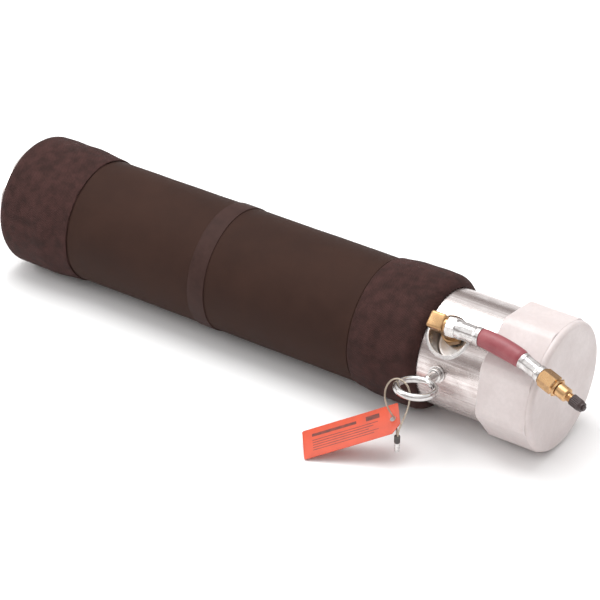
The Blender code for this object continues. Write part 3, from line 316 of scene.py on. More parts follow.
def rubber(name, base, bloom, marks, roughness=0.62, patch=0.045):
    """Cured black rubber with a woven print, painted shade in the print's pits, a pale bloom and rubbed
    edges.
    """
    threads, pitch, depth, lay = marks
    made, tree, shader = finish_of(name)
    shader.inputs["Specular IOR Level"].default_value = 0.12
    patches = use(tree, SMUDGES, Size=patch, Contrast=0.5).outputs["Mask"]
    weave = use(tree, CLOTH_MARK, Threads=threads, Pitch=pitch, Lay=lay)
    rub = use(tree, EDGE_RUB, Breakup=0.004).outputs["Mask"]
    pale = reckon(tree, "MULTIPLY", patches, 0.75)
    colour = blend_colour(tree, pale, base, bloom)
    # painted shade: the colour is darkened in the weave's pits
    dark = [part * 0.45 for part in base]
    pit_shade = reckon(tree, "MULTIPLY", weave.outputs["Pit shade"], 0.55)
    colour = blend_colour(tree, pit_shade, colour, dark)
    colour = blend_colour(tree, reckon(tree, "MULTIPLY", rub, 0.5), colour, bloom)
    tree.links.new(colour, shader.inputs["Base Color"])
    rough = reckon(tree, "ADD", roughness, reckon(tree, "MULTIPLY", patches, 0.16))
    tree.links.new(rough, shader.inputs["Roughness"])
    fine = use(tree, GRAIN, Size=0.0006).outputs["Height"]
    first = bump(tree, shader, fine, 0.00008, 0.5)
    bump(tree, shader, weave.outputs["Height"], depth, 0.9, first)
    return made


def metal(name, base, dull, roughness, lines, line_depth=0.00002, direction=(1, 40, 40)):
    """Bare or plated metal with working lines, dull patches and bright rubbed edges."""
    made, tree, shader = finish_of(name, 1.0)
    work = use(tree, DRAWN_LINES, Stretch=direction, Size=lines)
    patches = use(tree, SMUDGES, Size=0.018, Contrast=0.4).outputs["Mask"]
    rub = use(tree, EDGE_RUB, Breakup=0.0015).outputs["Mask"]
    tone = reckon(tree, "MULTIPLY", reckon(tree, "ADD", work.outputs["Tone"], patches), 0.5)
    colour = blend_colour(tree, tone, base, dull)
    bright = [min(1.0, part * 1.12) for part in base]
    colour = blend_colour(tree, rub, colour, bright)
    tree.links.new(colour, shader.inputs["Base Color"])
    rough = reckon(tree, "ADD", roughness, reckon(tree, "MULTIPLY", tone, 0.16))
    rough = reckon(tree, "SUBTRACT", rough, reckon(tree, "MULTIPLY", rub, 0.06))
    tree.links.new(rough, shader.inputs["Roughness"])
    bump(tree, shader, work.outputs["Height"], line_depth, 0.6)
    return made


def turned_metal(name, base, dull, roughness, pitch=0.0003, depth=0.00003):
    """Metal with tool marks round it."""
    made, tree, shader = finish_of(name, 1.0)
    marks = use(tree, TURNED_LINES, Pitch=pitch).outputs["Height"]
    patches = use(tree, SMUDGES, Size=0.006, Contrast=0.4).outputs["Mask"]
    rub = use(tree, EDGE_RUB, Breakup=0.001).outputs["Mask"]
    colour = blend_colour(tree, patches, base, dull)
    colour = blend_colour(tree, rub, colour, [min(1.0, part * 1.15) for part in base])
    tree.links.new(colour, shader.inputs["Base Color"])
    rough = reckon(tree, "ADD", roughness, reckon(tree, "MULTIPLY", patches, 0.14))
    rough = reckon(tree, "SUBTRACT", rough, reckon(tree, "MULTIPLY", rub, 0.06))
    tree.links.new(rough, shader.inputs["Roughness"])
    bump(tree, shader, marks, depth, 0.7)
    return made


def white_plastic():
    """Moulded white pipe plastic, a little grubby where it is gripped."""
    made, tree, shader = finish_of("white_pvc")
    shader.inputs["Subsurface Weight"].default_value = 0.12
    shader.inputs["Subsurface Radius"].default_value = (0.004, 0.003, 0.0025)
    patches = use(tree, SMUDGES, Size=0.030, Contrast=0.5).outputs["Mask"]
    specks = use(tree, SMUDGES, Size=0.0035, Contrast=1.0).outputs["Mask"]
    rub = use(tree, EDGE_RUB, Breakup=0.002).outputs["Mask"]
    colour = blend_colour(tree, reckon(tree, "MULTIPLY", patches, 0.6), (0.64, 0.575, 0.565),
                          (0.53, 0.455, 0.445))
    colour = blend_colour(tree, reckon(tree, "MULTIPLY", specks, 0.12), colour, (0.45, 0.41, 0.39))
    colour = blend_colour(tree, reckon(tree, "MULTIPLY", rub, 0.35), colour, (0.76, 0.71, 0.72))
    tree.links.new(colour, shader.inputs["Base Color"])
    rough = reckon(tree, "ADD", 0.34, reckon(tree, "MULTIPLY", patches, 0.14))
    tree.links.new(rough, shader.inputs["Roughness"])
    bump(tree, shader, use(tree, GRAIN, Size=0.0009).outputs["Height"], 0.00006, 0.5)
    return made


def red_hose():
    """Smooth red hose cover with the faint print of its cure wrap, and painted shade in the print's pits."""
    made, tree, shader = finish_of("red_rubber")
    shader.inputs["Coat Roughness"].default_value = 0.35
    shader.inputs["Coat Weight"].default_value = 0.25
    patches = use(tree, SMUDGES, Size=0.010, Contrast=0.4).outputs["Mask"]
    weave = use(tree, CLOTH_MARK, Threads=48.0, Pitch=0.0011, Lay=0.0)
    colour = blend_colour(tree, patches, (0.235, 0.036, 0.048), (0.30, 0.070, 0.080))
    # painted shade: the colour is darkened in the wrap print's pits
    pit_shade = reckon(tree, "MULTIPLY", weave.outputs["Pit shade"], 0.25)
    colour = blend_colour(tree, pit_shade, colour, (0.10, 0.014, 0.020))
    tree.links.new(colour, shader.inputs["Base Color"])
    rough = reckon(tree, "ADD", 0.42, reckon(tree, "MULTIPLY", patches, 0.15))
    tree.links.new(rough, shader.inputs["Roughness"])
    bump(tree, shader, weave.outputs["Height"], 0.00005, 0.6)
    return made


def moulded(name, base, worn, roughness, grain_size=0.0004):
    """A small moulded plastic or rubber piece with scuffed edges."""
    made, tree, shader = finish_of(name)
    patches = use(tree, SMUDGES, Size=0.006, Contrast=0.4).outputs["Mask"]
    rub = use(tree, EDGE_RUB, Breakup=0.001).outputs["Mask"]
    colour = blend_colour(tree, reckon(tree, "MULTIPLY", patches, 0.4), base, worn)
    colour = blend_colour(tree, rub, colour, worn)
    tree.links.new(colour, shader.inputs["Base Color"])
    rough = reckon(tree, "ADD", roughness, reckon(tree, "MULTIPLY", patches, 0.15))
    tree.links.new(rough, shader.inputs["Roughness"])
    bump(tree, shader, use(tree, GRAIN, Size=grain_size).outputs["Height"], 0.00004, 0.5)
    return made


# ---------------------------------------------------------------- mesh helpers
def softened(points, radius, segments=3):
    """Round the corners of a closed outline of (distance, radius) points.

    A third number gives a corner its own rounding. Returns (distance, radius, edge)
    rows, where edge is 1 on an outside corner.
    """
    flat = [Vector(point[:2]) for point in points]
    around = zip(flat, flat[1:] + flat[:1])
    winding = 1 if sum(a.x * b.y - b.x * a.y for a, b in around) > 0 else -1
    rows = []
    for i, here in enumerate(flat):
        size = points[i][2] if len(points[i]) > 2 else radius
        back = flat[i - 1] - here
        ahead = flat[(i + 1) % len(flat)] - here
        opening = back.angle(ahead)
        if here.y < 1e-6 or size == 0 or opening > radians(168):
            rows.append((here.x, here.y, 0))
            continue
        half = opening / 2
        room = 0.45 * min(back.length, ahead.length)
        cut = min(size * cos(half) / sin(half), room)
        real = cut * sin(half) / cos(half)
        back.normalize()
        ahead.normalize()
        middle = here + (back + ahead).normalized() * real / sin(half)
        first = here + back * cut - middle
        last = here + ahead * cut - middle
        sweep = first.angle(last)
        outside = 1.0 if back.cross(ahead) * winding < 0 else 0.0
        edge_room = min(cut * 1.9, room * 1.05)
        rows.append((*(here + back * edge_room), 0))
        for k in range(segments + 1):
            t = k / segments
            spot = middle + (first * sin((1 - t) * sweep) + last * sin(t * sweep)) / sin(sweep)
            rows.append((*spot, outside))
        rows.append((*(here + ahead * edge_room), 0))
    return rows


def spun(rows, sides):
    """Spin (distance, radius, edge) rows about X, with a wrap map: turns round, metres along."""
    shape = bmesh.new()
    edge = shape.verts.layers.float.new("edge")
    along = shape.verts.layers.float.new("along")
    verts = []
    run = 0
    for x, r, mark in rows:
        vert = shape.verts.new((x, 0, max(r, 0)))
        if verts:
            run += (vert.co - verts[-1].co).length
        vert[edge] = mark
        vert[along] = run
        verts.append(vert)
    pairs = zip(verts, verts[1:] + verts[:1])
    edges = [shape.edges.new(pair) for pair in pairs if max(pair[0].co.z, pair[1].co.z) > 1e-6]
    bmesh.ops.spin(shape, geom=verts + edges, cent=(0, 0, 0), axis=(1, 0, 0), angle=tau,
                   steps=sides, use_merge=True)
    wrap = shape.loops.layers.uv.new("wrap")
    for face in shape.faces:
        turns = [atan2(-loop.vert.co.y, loop.vert.co.z) / tau % 1 for loop in face.loops]
        seam = max(turns) - min(turns) > 0.5
        for loop, turn in zip(face.loops, turns):
            loop[wrap].uv = (turn + 1 if seam and turn < 0.5 else turn, loop.vert[along])
    return shape


def reshape(shape, rule):
    """Give each point of a spun shape the radius that a rule makes of its place."""
    for vert in shape.verts:
        x, y, z = vert.co
        r = hypot(y, z)
        if r > 1e-6:
            vert.co.yz = Vector((y, z)) * (rule(x, r, atan2(y, z)) / r)


def flat_sided(sides, across, turn=0.0):
    """A rule that cuts flats into a round shape."""
    step = tau / sides

    def rule(x, r, angle):
        phase = (angle - turn + step / 2) % step - step / 2
        return min(r, across / 2 / cos(phase))
    return rule


def add_thread(shape, start, turns, pitch, root, crest, per_turn=96, hand_in=0.6, shift=0.0):
    """Wind a closed ridge round a spun shape, running out at both ends."""
    base = 0.36 * pitch
    top = 0.10 * pitch
    sunk = root + (root - crest) * 0.15
    ridge = bmesh.new()
    first = [ridge.verts.new(spot) for spot in (
        (start - base, 0, sunk), (start - top, 0, crest), (start + top, 0, crest),
        (start + base, 0, sunk))]
    ring = [ridge.edges.new(pair) for pair in zip(first, first[1:] + first[:1])]
    bmesh.ops.rotate(ridge, verts=first, cent=(0, 0, 0),
                     matrix=Matrix.Rotation(shift, 3, "X"))
    made = bmesh.ops.spin(ridge, geom=first + ring, cent=(0, 0, 0), axis=(1, 0, 0),
                          dvec=(pitch / per_turn, 0, 0), angle=tau * turns,
                          steps=round(turns * per_turn), use_merge=False)
    last = [item for item in made["geom_last"] if isinstance(item, bmesh.types.BMVert)]
    ridge.faces.new(first)
    middle = sum((v.co for v in last), Vector()) / 4
    outward = Vector((0, middle.y, middle.z)).normalized()
    ridge.faces.new(sorted(last, key=lambda v: atan2((v.co - middle).dot(outward),
                                                     v.co.x - middle.x)))
    finish = start + turns * pitch
    lead = hand_in * pitch
    for vert in ridge.verts:
        r = hypot(vert.co.y, vert.co.z)
        near = min((vert.co.x - start + base) / lead, (finish - vert.co.x + base) / lead, 1)
        vert.co.yz = vert.co.yz * ((sunk + (r - sunk) * max(near, 0.02)) / r)
    together(shape, ridge)


def carved(shape, cutters, operation="DIFFERENCE"):
    """Cut other shapes out of a shape, or clip it to them; all of them are used up."""
    made = []

    def stand(source):
        mesh = bpy.data.meshes.new("carving")
        bmesh.ops.remove_doubles(source, verts=source.verts, dist=1e-7)
        bmesh.ops.recalc_face_normals(source, faces=source.faces)
        source.to_mesh(mesh)
        source.free()
        made.append(bpy.data.objects.new("carving", mesh))
        bpy.context.scene.collection.objects.link(made[-1])
        return made[-1]

    block = stand(shape)
    for cutter in cutters:
        change = block.modifiers.new("cut", "BOOLEAN")
        change.operation = operation
        change.object = stand(cutter)
    bpy.context.view_layer.update()
    seen = block.evaluated_get(bpy.context.evaluated_depsgraph_get())
    result = bmesh.new()
    result.from_mesh(seen.to_mesh())
    seen.to_mesh_clear()
    for item in made:
        mesh = item.data
        bpy.data.objects.remove(item)
        bpy.data.meshes.remove(mesh)
    return result


def placed(shape, matrix):
    """Move a shape into another frame."""
    bmesh.ops.transform(shape, matrix=matrix, verts=shape.verts)
    return shape


def together(*shapes):
    """Several shapes as one."""
    first = shapes[0]
    for other in shapes[1:]:
        mesh = bpy.data.meshes.new("part")
        other.to_mesh(mesh)
        other.free()
        first.from_mesh(mesh)
        bpy.data.meshes.remove(mesh)
    return first


def piece(name, shape, place, body, material, stands_for=None, crease=32):
    """Make an object of a shape and tie it to the model."""
    bmesh.ops.remove_doubles(shape, verts=shape.verts, dist=1e-7)
    bmesh.ops.dissolve_degenerate(shape, dist=1e-8, edges=shape.edges)
    bmesh.ops.recalc_face_normals(shape, faces=shape.faces)
    mesh = bpy.data.meshes.new(name)
    shape.to_mesh(mesh)
    shape.free()
    mesh.transform(place)
    return settle(name, mesh, body, material, stands_for, crease)


def settle(name, mesh, body, material, stands_for=None, crease=32):
    """Link a mesh that is already in place as a piece of the model."""
    for face in mesh.polygons:
        face.use_smooth = True
    mesh.set_sharp_from_angle(angle=radians(crease))
    made = bpy.data.objects.new(name, mesh)
    bpy.context.scene.collection.objects.link(made)
    mesh.materials.clear()
    mesh.materials.append(material)
    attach(made, body)
    if stands_for:
        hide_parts(stands_for)
    return made


def rough_radius(x, r, angle, amount, size):
    """A radius with slow, even unevenness, as hand-laid rubber has."""
    spot = Vector((x, r * cos(angle), r * sin(angle))) / size
    return r + amount * noise.noise(spot)

# ---------------------------------------------------------------- finishes used
SLEEVE_RUBBER = rubber("sleeve_rubber", (0.030, 0.0130, 0.0090), (0.046, 0.0225, 0.0165),
                       (360, 0.0010, 0.00010, 0.0))
CUFF_RUBBER = rubber("cuff_rubber", (0.032, 0.0150, 0.0130), (0.072, 0.033, 0.030),
                     (200, 0.0018, 0.00030, 0.0), 0.70, 0.010)
BAND_RUBBER = rubber("band_rubber", (0.034, 0.0160, 0.0130), (0.054, 0.0280, 0.0240),
                     (300, 0.0012, 0.00004, 0.0), 0.52, 0.012)
TUBE_METAL = metal("tube_aluminium", (0.82, 0.77, 0.755), (0.46, 0.385, 0.37), 0.18, 0.010)
POCKET_METAL = turned_metal("pocket_aluminium", (0.82, 0.80, 0.79), (0.66, 0.64, 0.63), 0.26)
WELD_METAL = metal("weld_aluminium", (0.80, 0.78, 0.77), (0.58, 0.56, 0.55), 0.30, 0.003,
                   0.00004, (6, 6, 6))
WHITE_PVC = white_plastic()
BRASS = turned_metal("brass", (0.64, 0.40, 0.20), (0.40, 0.235, 0.115), 0.24)
PLATED = turned_metal("plated_steel", (0.72, 0.70, 0.69), (0.50, 0.475, 0.465), 0.18, 0.0002)
FORGED = metal("eye_steel", (0.74, 0.72, 0.71), (0.48, 0.46, 0.45), 0.14, 0.006, 0.00003,
               (3, 3, 3))
STAINLESS = metal("stainless_steel", (0.72, 0.70, 0.69), (0.56, 0.54, 0.53), 0.26, 0.004)
CABLE = metal("cable_steel", (0.62, 0.55, 0.46), (0.40, 0.34, 0.27), 0.28, 0.003, 0.00001,
              (6, 6, 6))
HOSE_RUBBER = red_hose()
CAP_BLACK = moulded("valve_cap_black", (0.030, 0.014, 0.014), (0.075, 0.050, 0.050), 0.40)
SEAL_BLACK = moulded("seal_rubber", (0.028, 0.027, 0.028), (0.060, 0.058, 0.058), 0.70)
SHRINK_BLACK = moulded("crimp_cover_black", (0.055, 0.045, 0.042), (0.11, 0.10, 0.09), 0.50)
NYLON = moulded("nylon_blue", (0.10, 0.16, 0.40), (0.16, 0.22, 0.45), 0.42)

# ---------------------------------------------------------------- rubber sleeve and cuffs
FINE_ROUND = 192
HIDDEN_EDGE = 0.0002              # how far a hidden face stays inside its CAD surface

sleeve_start, sleeve_end = span("rubber_sleeve")
rear_cuff_start, rear_cuff_end = span("rear_cuff")
front_cuff_start, front_cuff_end = span("front_cuff")
tube_start, tube_end = span("bypass_tube")
TUBE_RADIUS = 0.0510
TUBE_BORE = 0.0478
SLEEVE_BORE = TUBE_RADIUS + 0.0003
SLEEVE_RADIUS = 0.0565
UNDER_CUFF = SLEEVE_RADIUS - 0.0005
CUFF_BORE = UNDER_CUFF + 0.0003
CUFF_RADIUS = reach("rear_cuff")
CUFF_INNER_EDGE = CUFF_RADIUS - 0.0023
CUFF_SHOULDER = 0.0120
CUFF_LIP = 0.0115
BAND_INSETS = (0.0240, 0.0500)    # clamp bands under a cuff, from its outer end


def row_of(start, end, step):
    """Stations between two places, no further apart than a step."""
    count = max(2, round(abs(end - start) / step) + 1)
    return [start + (end - start) * i / (count - 1) for i in range(count)]


def build_sleeve():
    """The smooth middle of the sleeve, thinner where the cuffs lie over it."""
    step = 0.0012
    rear = rear_cuff_end + step
    front = front_cuff_start - step
    corners = [(sleeve_start, SLEEVE_BORE), (sleeve_start, UNDER_CUFF),
               (rear, UNDER_CUFF), (rear, SLEEVE_RADIUS, 0.0004)]
    corners += [(x, SLEEVE_RADIUS) for x in row_of(rear + 0.004, front - 0.004, 0.004)]
    corners += [(front, SLEEVE_RADIUS, 0.0004), (front, UNDER_CUFF), (sleeve_end, UNDER_CUFF),
                (sleeve_end, SLEEVE_BORE)]
    shape = spun(softened(corners, 0.0003), FINE_ROUND)
    unevenness = 0.00022

    def rule(x, r, angle):
        if r < UNDER_CUFF - 0.0001 or not rear - 0.0001 < x < front + 0.0001:
            return r - HIDDEN_EDGE if r > SLEEVE_BORE + 0.001 else r
        return rough_radius(x, r, angle, unevenness, 0.030) - unevenness

    reshape(shape, rule)
    piece("rubber_sleeve_smooth", shape, AXIS, "plug", SLEEVE_RUBBER,
          "rubber_sleeve")


def build_cuff(name, outer_end, inner_end):
    """A thick cuff: round shoulder, cloth-printed body, thin feathered inner edge."""
    way = 1 if inner_end > outer_end else -1
    length = abs(inner_end - outer_end)
    shoulder_steps = 14
    dip = 0.00035                 # between and beside the clamp bands underneath

    def crown(distance):
        """Outer radius at a distance from the outer end."""
        past = max(0.0, (distance - length * 0.6) / (length * 0.4))
        fall = (CUFF_RADIUS - CUFF_INNER_EDGE) * past * past * (3 - 2 * past)
        bands = sum(exp(-((distance - inset) / 0.0075) ** 2) for inset in BAND_INSETS)
        return CUFF_RADIUS - fall - dip * (1 - min(bands, 1))

    centre_r = CUFF_RADIUS - dip - CUFF_SHOULDER
    corners = [(0.0006, SLEEVE_BORE)]
    for i in range(shoulder_steps + 1):
        angle = radians(20 + 70 * i / shoulder_steps)
        corners.append((CUFF_SHOULDER * (1 - cos(angle)), centre_r + CUFF_SHOULDER * sin(angle)))
    corners += [(x, crown(x)) for x in row_of(CUFF_SHOULDER + 0.003, length - 0.0045, 0.0022)]
    corners += [(length - 0.0020, crown(length - 0.0020)), (length, crown(length) - 0.0004, 0.0007),
                (length, CUFF_BORE), (CUFF_LIP, CUFF_BORE), (CUFF_LIP, SLEEVE_BORE)]
    rows = softened([(outer_end + way * c[0], *c[1:]) for c in corners], 0.0003)
    shape = spun(rows, FINE_ROUND)

    def rule(x, r, angle):
        if r < CUFF_BORE + 0.0006:
            return r
        distance = abs(x - outer_end)
        wander = 0.0004 * noise.noise(Vector((distance / 0.02, cos(angle) * 2.2, sin(angle) * 2.2)))
        return min(r, CUFF_RADIUS) - 0.00015 + min(wander, 0.00015)

    reshape(shape, rule)
    edge_start = length - 0.004
    for vert in shape.verts:
        distance = abs(vert.co.x - outer_end)
        if distance > edge_start and hypot(vert.co.y, vert.co.z) > CUFF_BORE + 0.0001:
            angle = atan2(vert.co.z, vert.co.y)
            ragged = 0.0009 * noise.noise(Vector((cos(angle) * 3.5, sin(angle) * 3.5, 0.3)))
            share = (distance - edge_start) / (length - edge_start)
            vert.co.x += way * min(ragged - 0.0003, 0) * share
        vert.co.z = max(vert.co.z, -centre.z)
    piece(name + "_moulded", shape, AXIS, "plug", CUFF_RUBBER, name)


def build_centre_band():
    """Smooth rubber band stuck round the middle of the sleeve."""
    start, end = span("centre_band")
    outer = reach("centre_band")
    inner = SLEEVE_RADIUS
    corners = [(start, inner - 0.0004), (start, outer - 0.0001, 0.0004)]
    corners += [(x, outer) for x in row_of(start + 0.003, end - 0.003, 0.0018)]
    corners += [(end, outer - 0.0001, 0.0004), (end, inner - 0.0004)]
    shape = spun(softened(corners, 0.0003), FINE_ROUND)
    reshape(shape, lambda x, r, angle: rough_radius(x, r, angle, 0.00012, 0.025) - 0.00012)
    piece("centre_band_smooth", shape, AXIS, "plug", BAND_RUBBER, "centre_band")


build_sleeve()
build_cuff("rear_cuff", rear_cuff_start, rear_cuff_end)
build_cuff("front_cuff", front_cuff_end, front_cuff_start)
build_centre_band()

# ---------------------------------------------------------------- tube and its pocket
THREAD_PITCH = 0.003175
THREAD_CREST = 0.0506
THREAD_ROOT = THREAD_CREST - 0.0013
THREAD_START = 0.0340
POCKET_RADIUS = 0.0190
POCKET_INNER = POCKET_RADIUS - 0.0018
POCKET_FLOOR = 0.0280
POCKET_RIM = TUBE_RADIUS + 0.0011
GAP = 0.0003
EYE_SHANK = 0.0030
STUB_RADIUS = 0.0050


def round_bar(start, end, radius, sides, rounding=0.0):
    """A plain turned bar, or a cutter."""
    return spun(softened([(start, 0), (start, radius), (end, radius), (end, 0)], rounding), sides)


def pipe(start, end, inner, outer, sides, rounding=0.0002):
    """A plain turned ring with broken edges."""
    corners = [(start, inner), (start, outer), (end, outer), (end, inner)]
    return spun(softened(corners, rounding), sides)


def build_tube():
    """The drawn tube with its cut thread, and holes for the pocket, port and eye bolt."""
    shoulder = THREAD_START + 0.0004
    corners = [(tube_start, TUBE_BORE), (tube_start, TUBE_RADIUS, 0.0007)]
    corners += [(x, TUBE_RADIUS) for x in row_of(tube_start + 0.010, THREAD_START - 0.004, 0.020)]
    corners += [(THREAD_START, TUBE_RADIUS, 0.0003), (shoulder + 0.0016, THREAD_ROOT),
                (tube_end, THREAD_ROOT, 0.0005), (tube_end, TUBE_BORE)]
    shape = spun(softened(corners, 0.0004), FINE_ROUND)
    to_port = AXIS.inverted() @ PORT @ UPRIGHT
    to_eye = AXIS.inverted() @ EYE @ UPRIGHT
    gallery = Matrix.Translation((GALLERY_X - PORT_X, 0, 0))
    holes = [
        placed(round_bar(POCKET_FLOOR, TUBE_RADIUS + 0.005, POCKET_RADIUS + GAP, 128), to_port),
        placed(round_bar(0.042, 0.056, EYE_SHANK + GAP, 48), to_eye),
        placed(round_bar(0.042, 0.056, 0.0033, 32), AXIS.inverted() @ PORT @ gallery @ UPRIGHT),
    ]
    shape = carved(shape, holes)
    turns = (tube_end - 0.0008 - shoulder - 0.003) / THREAD_PITCH
    add_thread(shape, shoulder + 0.003, turns, THREAD_PITCH, THREAD_ROOT, THREAD_CREST)
    piece("bypass_tube_drawn", shape, AXIS, "plug", TUBE_METAL, "bypass_tube")


def seat_on_tube(shape, above, radius):
    """Let the upper rows of a round piece follow the curve of the tube they meet."""
    for vert in shape.verts:
        if vert.co.x > above:
            across = vert.co.y
            vert.co.x += sqrt(radius ** 2 - across ** 2) - radius


def build_pocket():
    """Spun cup welded into the tube, with the bead round its rim."""
    under = POCKET_FLOOR - 0.0018
    corners = [(under, STUB_RADIUS + GAP), (under, POCKET_RADIUS, 0.0025),
               (POCKET_RIM - 0.006, POCKET_RADIUS), (POCKET_RIM, POCKET_RADIUS, 0.0006),
               (POCKET_RIM, POCKET_INNER, 0.0006), (POCKET_RIM - 0.006, POCKET_INNER),
               (POCKET_FLOOR, POCKET_INNER, 0.0018), (POCKET_FLOOR, STUB_RADIUS + 0.0008),
               ]
    shape = spun(softened(corners, 0.0003, 5), 144)
    offset = Vector((0, ELBOW_Y, -ELBOW_X))
    for vert in shape.verts:
        if hypot(vert.co.y, vert.co.z) < STUB_RADIUS + 0.001:
            vert.co += offset
    seat_on_tube(shape, POCKET_RIM - 0.007, POCKET_RIM)
    piece("port_pocket_spun", shape, PORT @ UPRIGHT, "plug", POCKET_METAL,
          "port_pocket")
    inner, outer, proud = POCKET_RADIUS - 0.0001, POCKET_RADIUS + 0.0016, 0.0007
    corners = [(TUBE_RADIUS - 0.0006, inner), (TUBE_RADIUS - 0.0006, outer)]
    corners += [(TUBE_RADIUS + proud * sin(pi / 2 * i / 5), outer - 0.0015 * (1 - cos(pi / 2 * i / 5)))
                for i in range(6)]
    corners.append((TUBE_RADIUS + proud, inner))
    shape = spun([(x, r, 0) for x, r in corners], 288)
    ripples = 76
    for vert in shape.verts:
        r = hypot(vert.co.y, vert.co.z)
        lap = abs(sin(ripples / 2 * atan2(vert.co.y, vert.co.z)))
        if r > inner + 0.0003:
            vert.co.x -= 0.00022 * (1 - lap)
            vert.co.yz = vert.co.yz * (1 + 0.00025 * (lap - 1) / r)
    seat_on_tube(shape, 0, TUBE_RADIUS)
    piece("pocket_weld", shape, PORT @ UPRIGHT, "plug", WELD_METAL)


GALLERY_X = -0.1000
build_tube()
build_pocket()

# ---------------------------------------------------------------- end cap
cap_start, cap_face = span("end_cap")
CAP_FLATS_END = cap_start + 0.0470
CAP_ACROSS = 0.1104
CAP_LAND = 0.0584
CAP_CROWN = 0.0570
CAP_BORE = THREAD_CREST + GAP
CAP_SEAT = cap_face - 0.0060
CAP_TURN = radians(8.7)


def build_cap():
    """Moulded screw cap: eight flats between narrow lands, round crown, threaded inside."""
    mouth = TUBE_RADIUS + 0.0004
    mouth_end = cap_start + 0.0065
    corners = [(cap_start, mouth, 0.0008), (cap_start, CAP_LAND, 0.0012)]
    corners += [(x, CAP_LAND) for x in row_of(cap_start + 0.003, CAP_FLATS_END - 0.0012, 0.003)]
    corners += [(CAP_FLATS_END - 0.0006, CAP_LAND), (CAP_FLATS_END, CAP_LAND - 0.0006),
                (CAP_FLATS_END + 0.0001, CAP_CROWN), (CAP_FLATS_END + 0.0007, CAP_CROWN)]
    face_edge = 0.0040
    for i in range(9):
        angle = pi / 2 * (1 - i / 8)
        corners.append((cap_face - face_edge * (1 - sin(pi / 2 - angle)),
                        CAP_CROWN - face_edge * (1 - sin(angle))))
    gate = 0.0035
    corners += [(cap_face, r) for r in (0.046, 0.038, 0.030, 0.022, 0.014, 0.008)]
    corners += [(cap_face, gate, 0.0003), (cap_face - 0.0004, gate - 0.0002, 0.0002),
                (cap_face - 0.0004, 0), (CAP_SEAT, 0)]
    corners += [(CAP_SEAT, CAP_BORE, 0.0010), (mouth_end, CAP_BORE), (mouth_end, mouth)]
    shape = spun(softened(corners, 0.0003), 384)
    step = tau / 8

    def rule(x, r, angle):
        if r < CAP_BORE + 0.0020 or x > CAP_FLATS_END + 0.00005:
            return r
        phase = (angle - CAP_TURN + step / 2) % step - step / 2
        ease = max(0.0, 0.0012 - (x - cap_start)) * 0.8
        flat = (CAP_ACROSS / 2 - ease) / cos(phase)
        blend = 0.00018
        return -blend * log(exp(-r / blend) + exp(-flat / blend)) if abs(r - flat) < 0.004 else min(
            r, flat)

    reshape(shape, rule)
    start = mouth_end + 0.0035
    turns = (CAP_SEAT - 0.0040 - start) / THREAD_PITCH
    shift = tau * ((start - THREAD_START) / THREAD_PITCH + 0.5)
    add_thread(shape, start, turns, THREAD_PITCH, CAP_BORE, CAP_BORE - 0.0013, shift=shift)
    piece("end_cap_moulded", shape, AXIS, "cap", WHITE_PVC, "end_cap")


build_cap()

# ---------------------------------------------------------------- inflation elbow
BLOCK = 0.0145
LEG_RADIUS = 0.0060
FLANGE = (0.0301, 0.0391)
OUTLET_RADIUS = 0.0062


def nut(start, end, across, bore, turn=0.0, chamfer=0.0012):
    """A hexagon nut with turned chamfers at both ends."""
    flat = across / 2
    corner = flat * 1.155
    rows = [(start, bore), (start, flat * 0.97), (start + chamfer, corner)]
    rows += [(x, corner) for x in row_of(start + chamfer * 1.2, end - chamfer * 1.2, 0.0012)]
    rows += [(end - chamfer, corner), (end, flat * 0.97), (end, bore)]
    shape = spun(softened(rows, 0.0002), 144)
    reshape(shape, flat_sided(6, across, turn))
    return shape


def build_elbow():
    """Forged brass elbow: block, leg, hexagon flange and threaded stub."""
    block = bmesh.new()
    bmesh.ops.create_cube(block, size=BLOCK)
    bmesh.ops.bevel(block, geom=block.edges, offset=0.0022, segments=4, profile=0.5,
                    affect="EDGES")
    placed(block, Matrix.Translation((OUTLET_HEIGHT, 0, 0)))
    rows = [(FLANGE[1] - 0.001, 0), (FLANGE[1] - 0.001, LEG_RADIUS + 0.0006),
            (FLANGE[1] + 0.0008, LEG_RADIUS + 0.0006, 0.0006), (FLANGE[1] + 0.0014, LEG_RADIUS),
            (OUTLET_HEIGHT - BLOCK / 2 - 0.0012, LEG_RADIUS),
            (OUTLET_HEIGHT - BLOCK / 2 + 0.0006, LEG_RADIUS + 0.0010),
            (OUTLET_HEIGHT, LEG_RADIUS), (OUTLET_HEIGHT, 0)]
    leg = spun(softened(rows, 0.0004), 72)
    flange = nut(*FLANGE, 0.0160, 0.0010)
    stub = round_bar(0.0219, FLANGE[0] + 0.001, STUB_RADIUS, 64, 0.0004)
    upright = together(block, leg, flange, stub)
    side = placed(round_bar(0, 0.0047 - ELBOW_X, OUTLET_RADIUS, 72, 0.0005),
                  UPRIGHT.inverted() @ Matrix.Translation((0, 0, OUTLET_HEIGHT)))
    shape = together(upright, side)
    piece("port_elbow_forged", shape, ELBOW @ UPRIGHT, "plug", BRASS, "port_elbow")


build_elbow()
swivel = nut(0.0050, 0.0142, 0.0159, 0.0035, radians(12))
piece("swivel_nut_turned", swivel, OUTLET, "plug", PLATED, "swivel_nut")

# ---------------------------------------------------------------- hose and its ferrules
INNER_FERRULE = (0.0145, 0.0360, 0.0081)
OUTER_FERRULE = (0.0000, 0.0220, 0.0073)
HOSE_RADIUS = 0.0080
HOSE_BORE = 0.0044
HOSE_FREE = 0.0420
HOSE_BEND = radians(17)
BEND_RADIUS = HOSE_FREE / HOSE_BEND


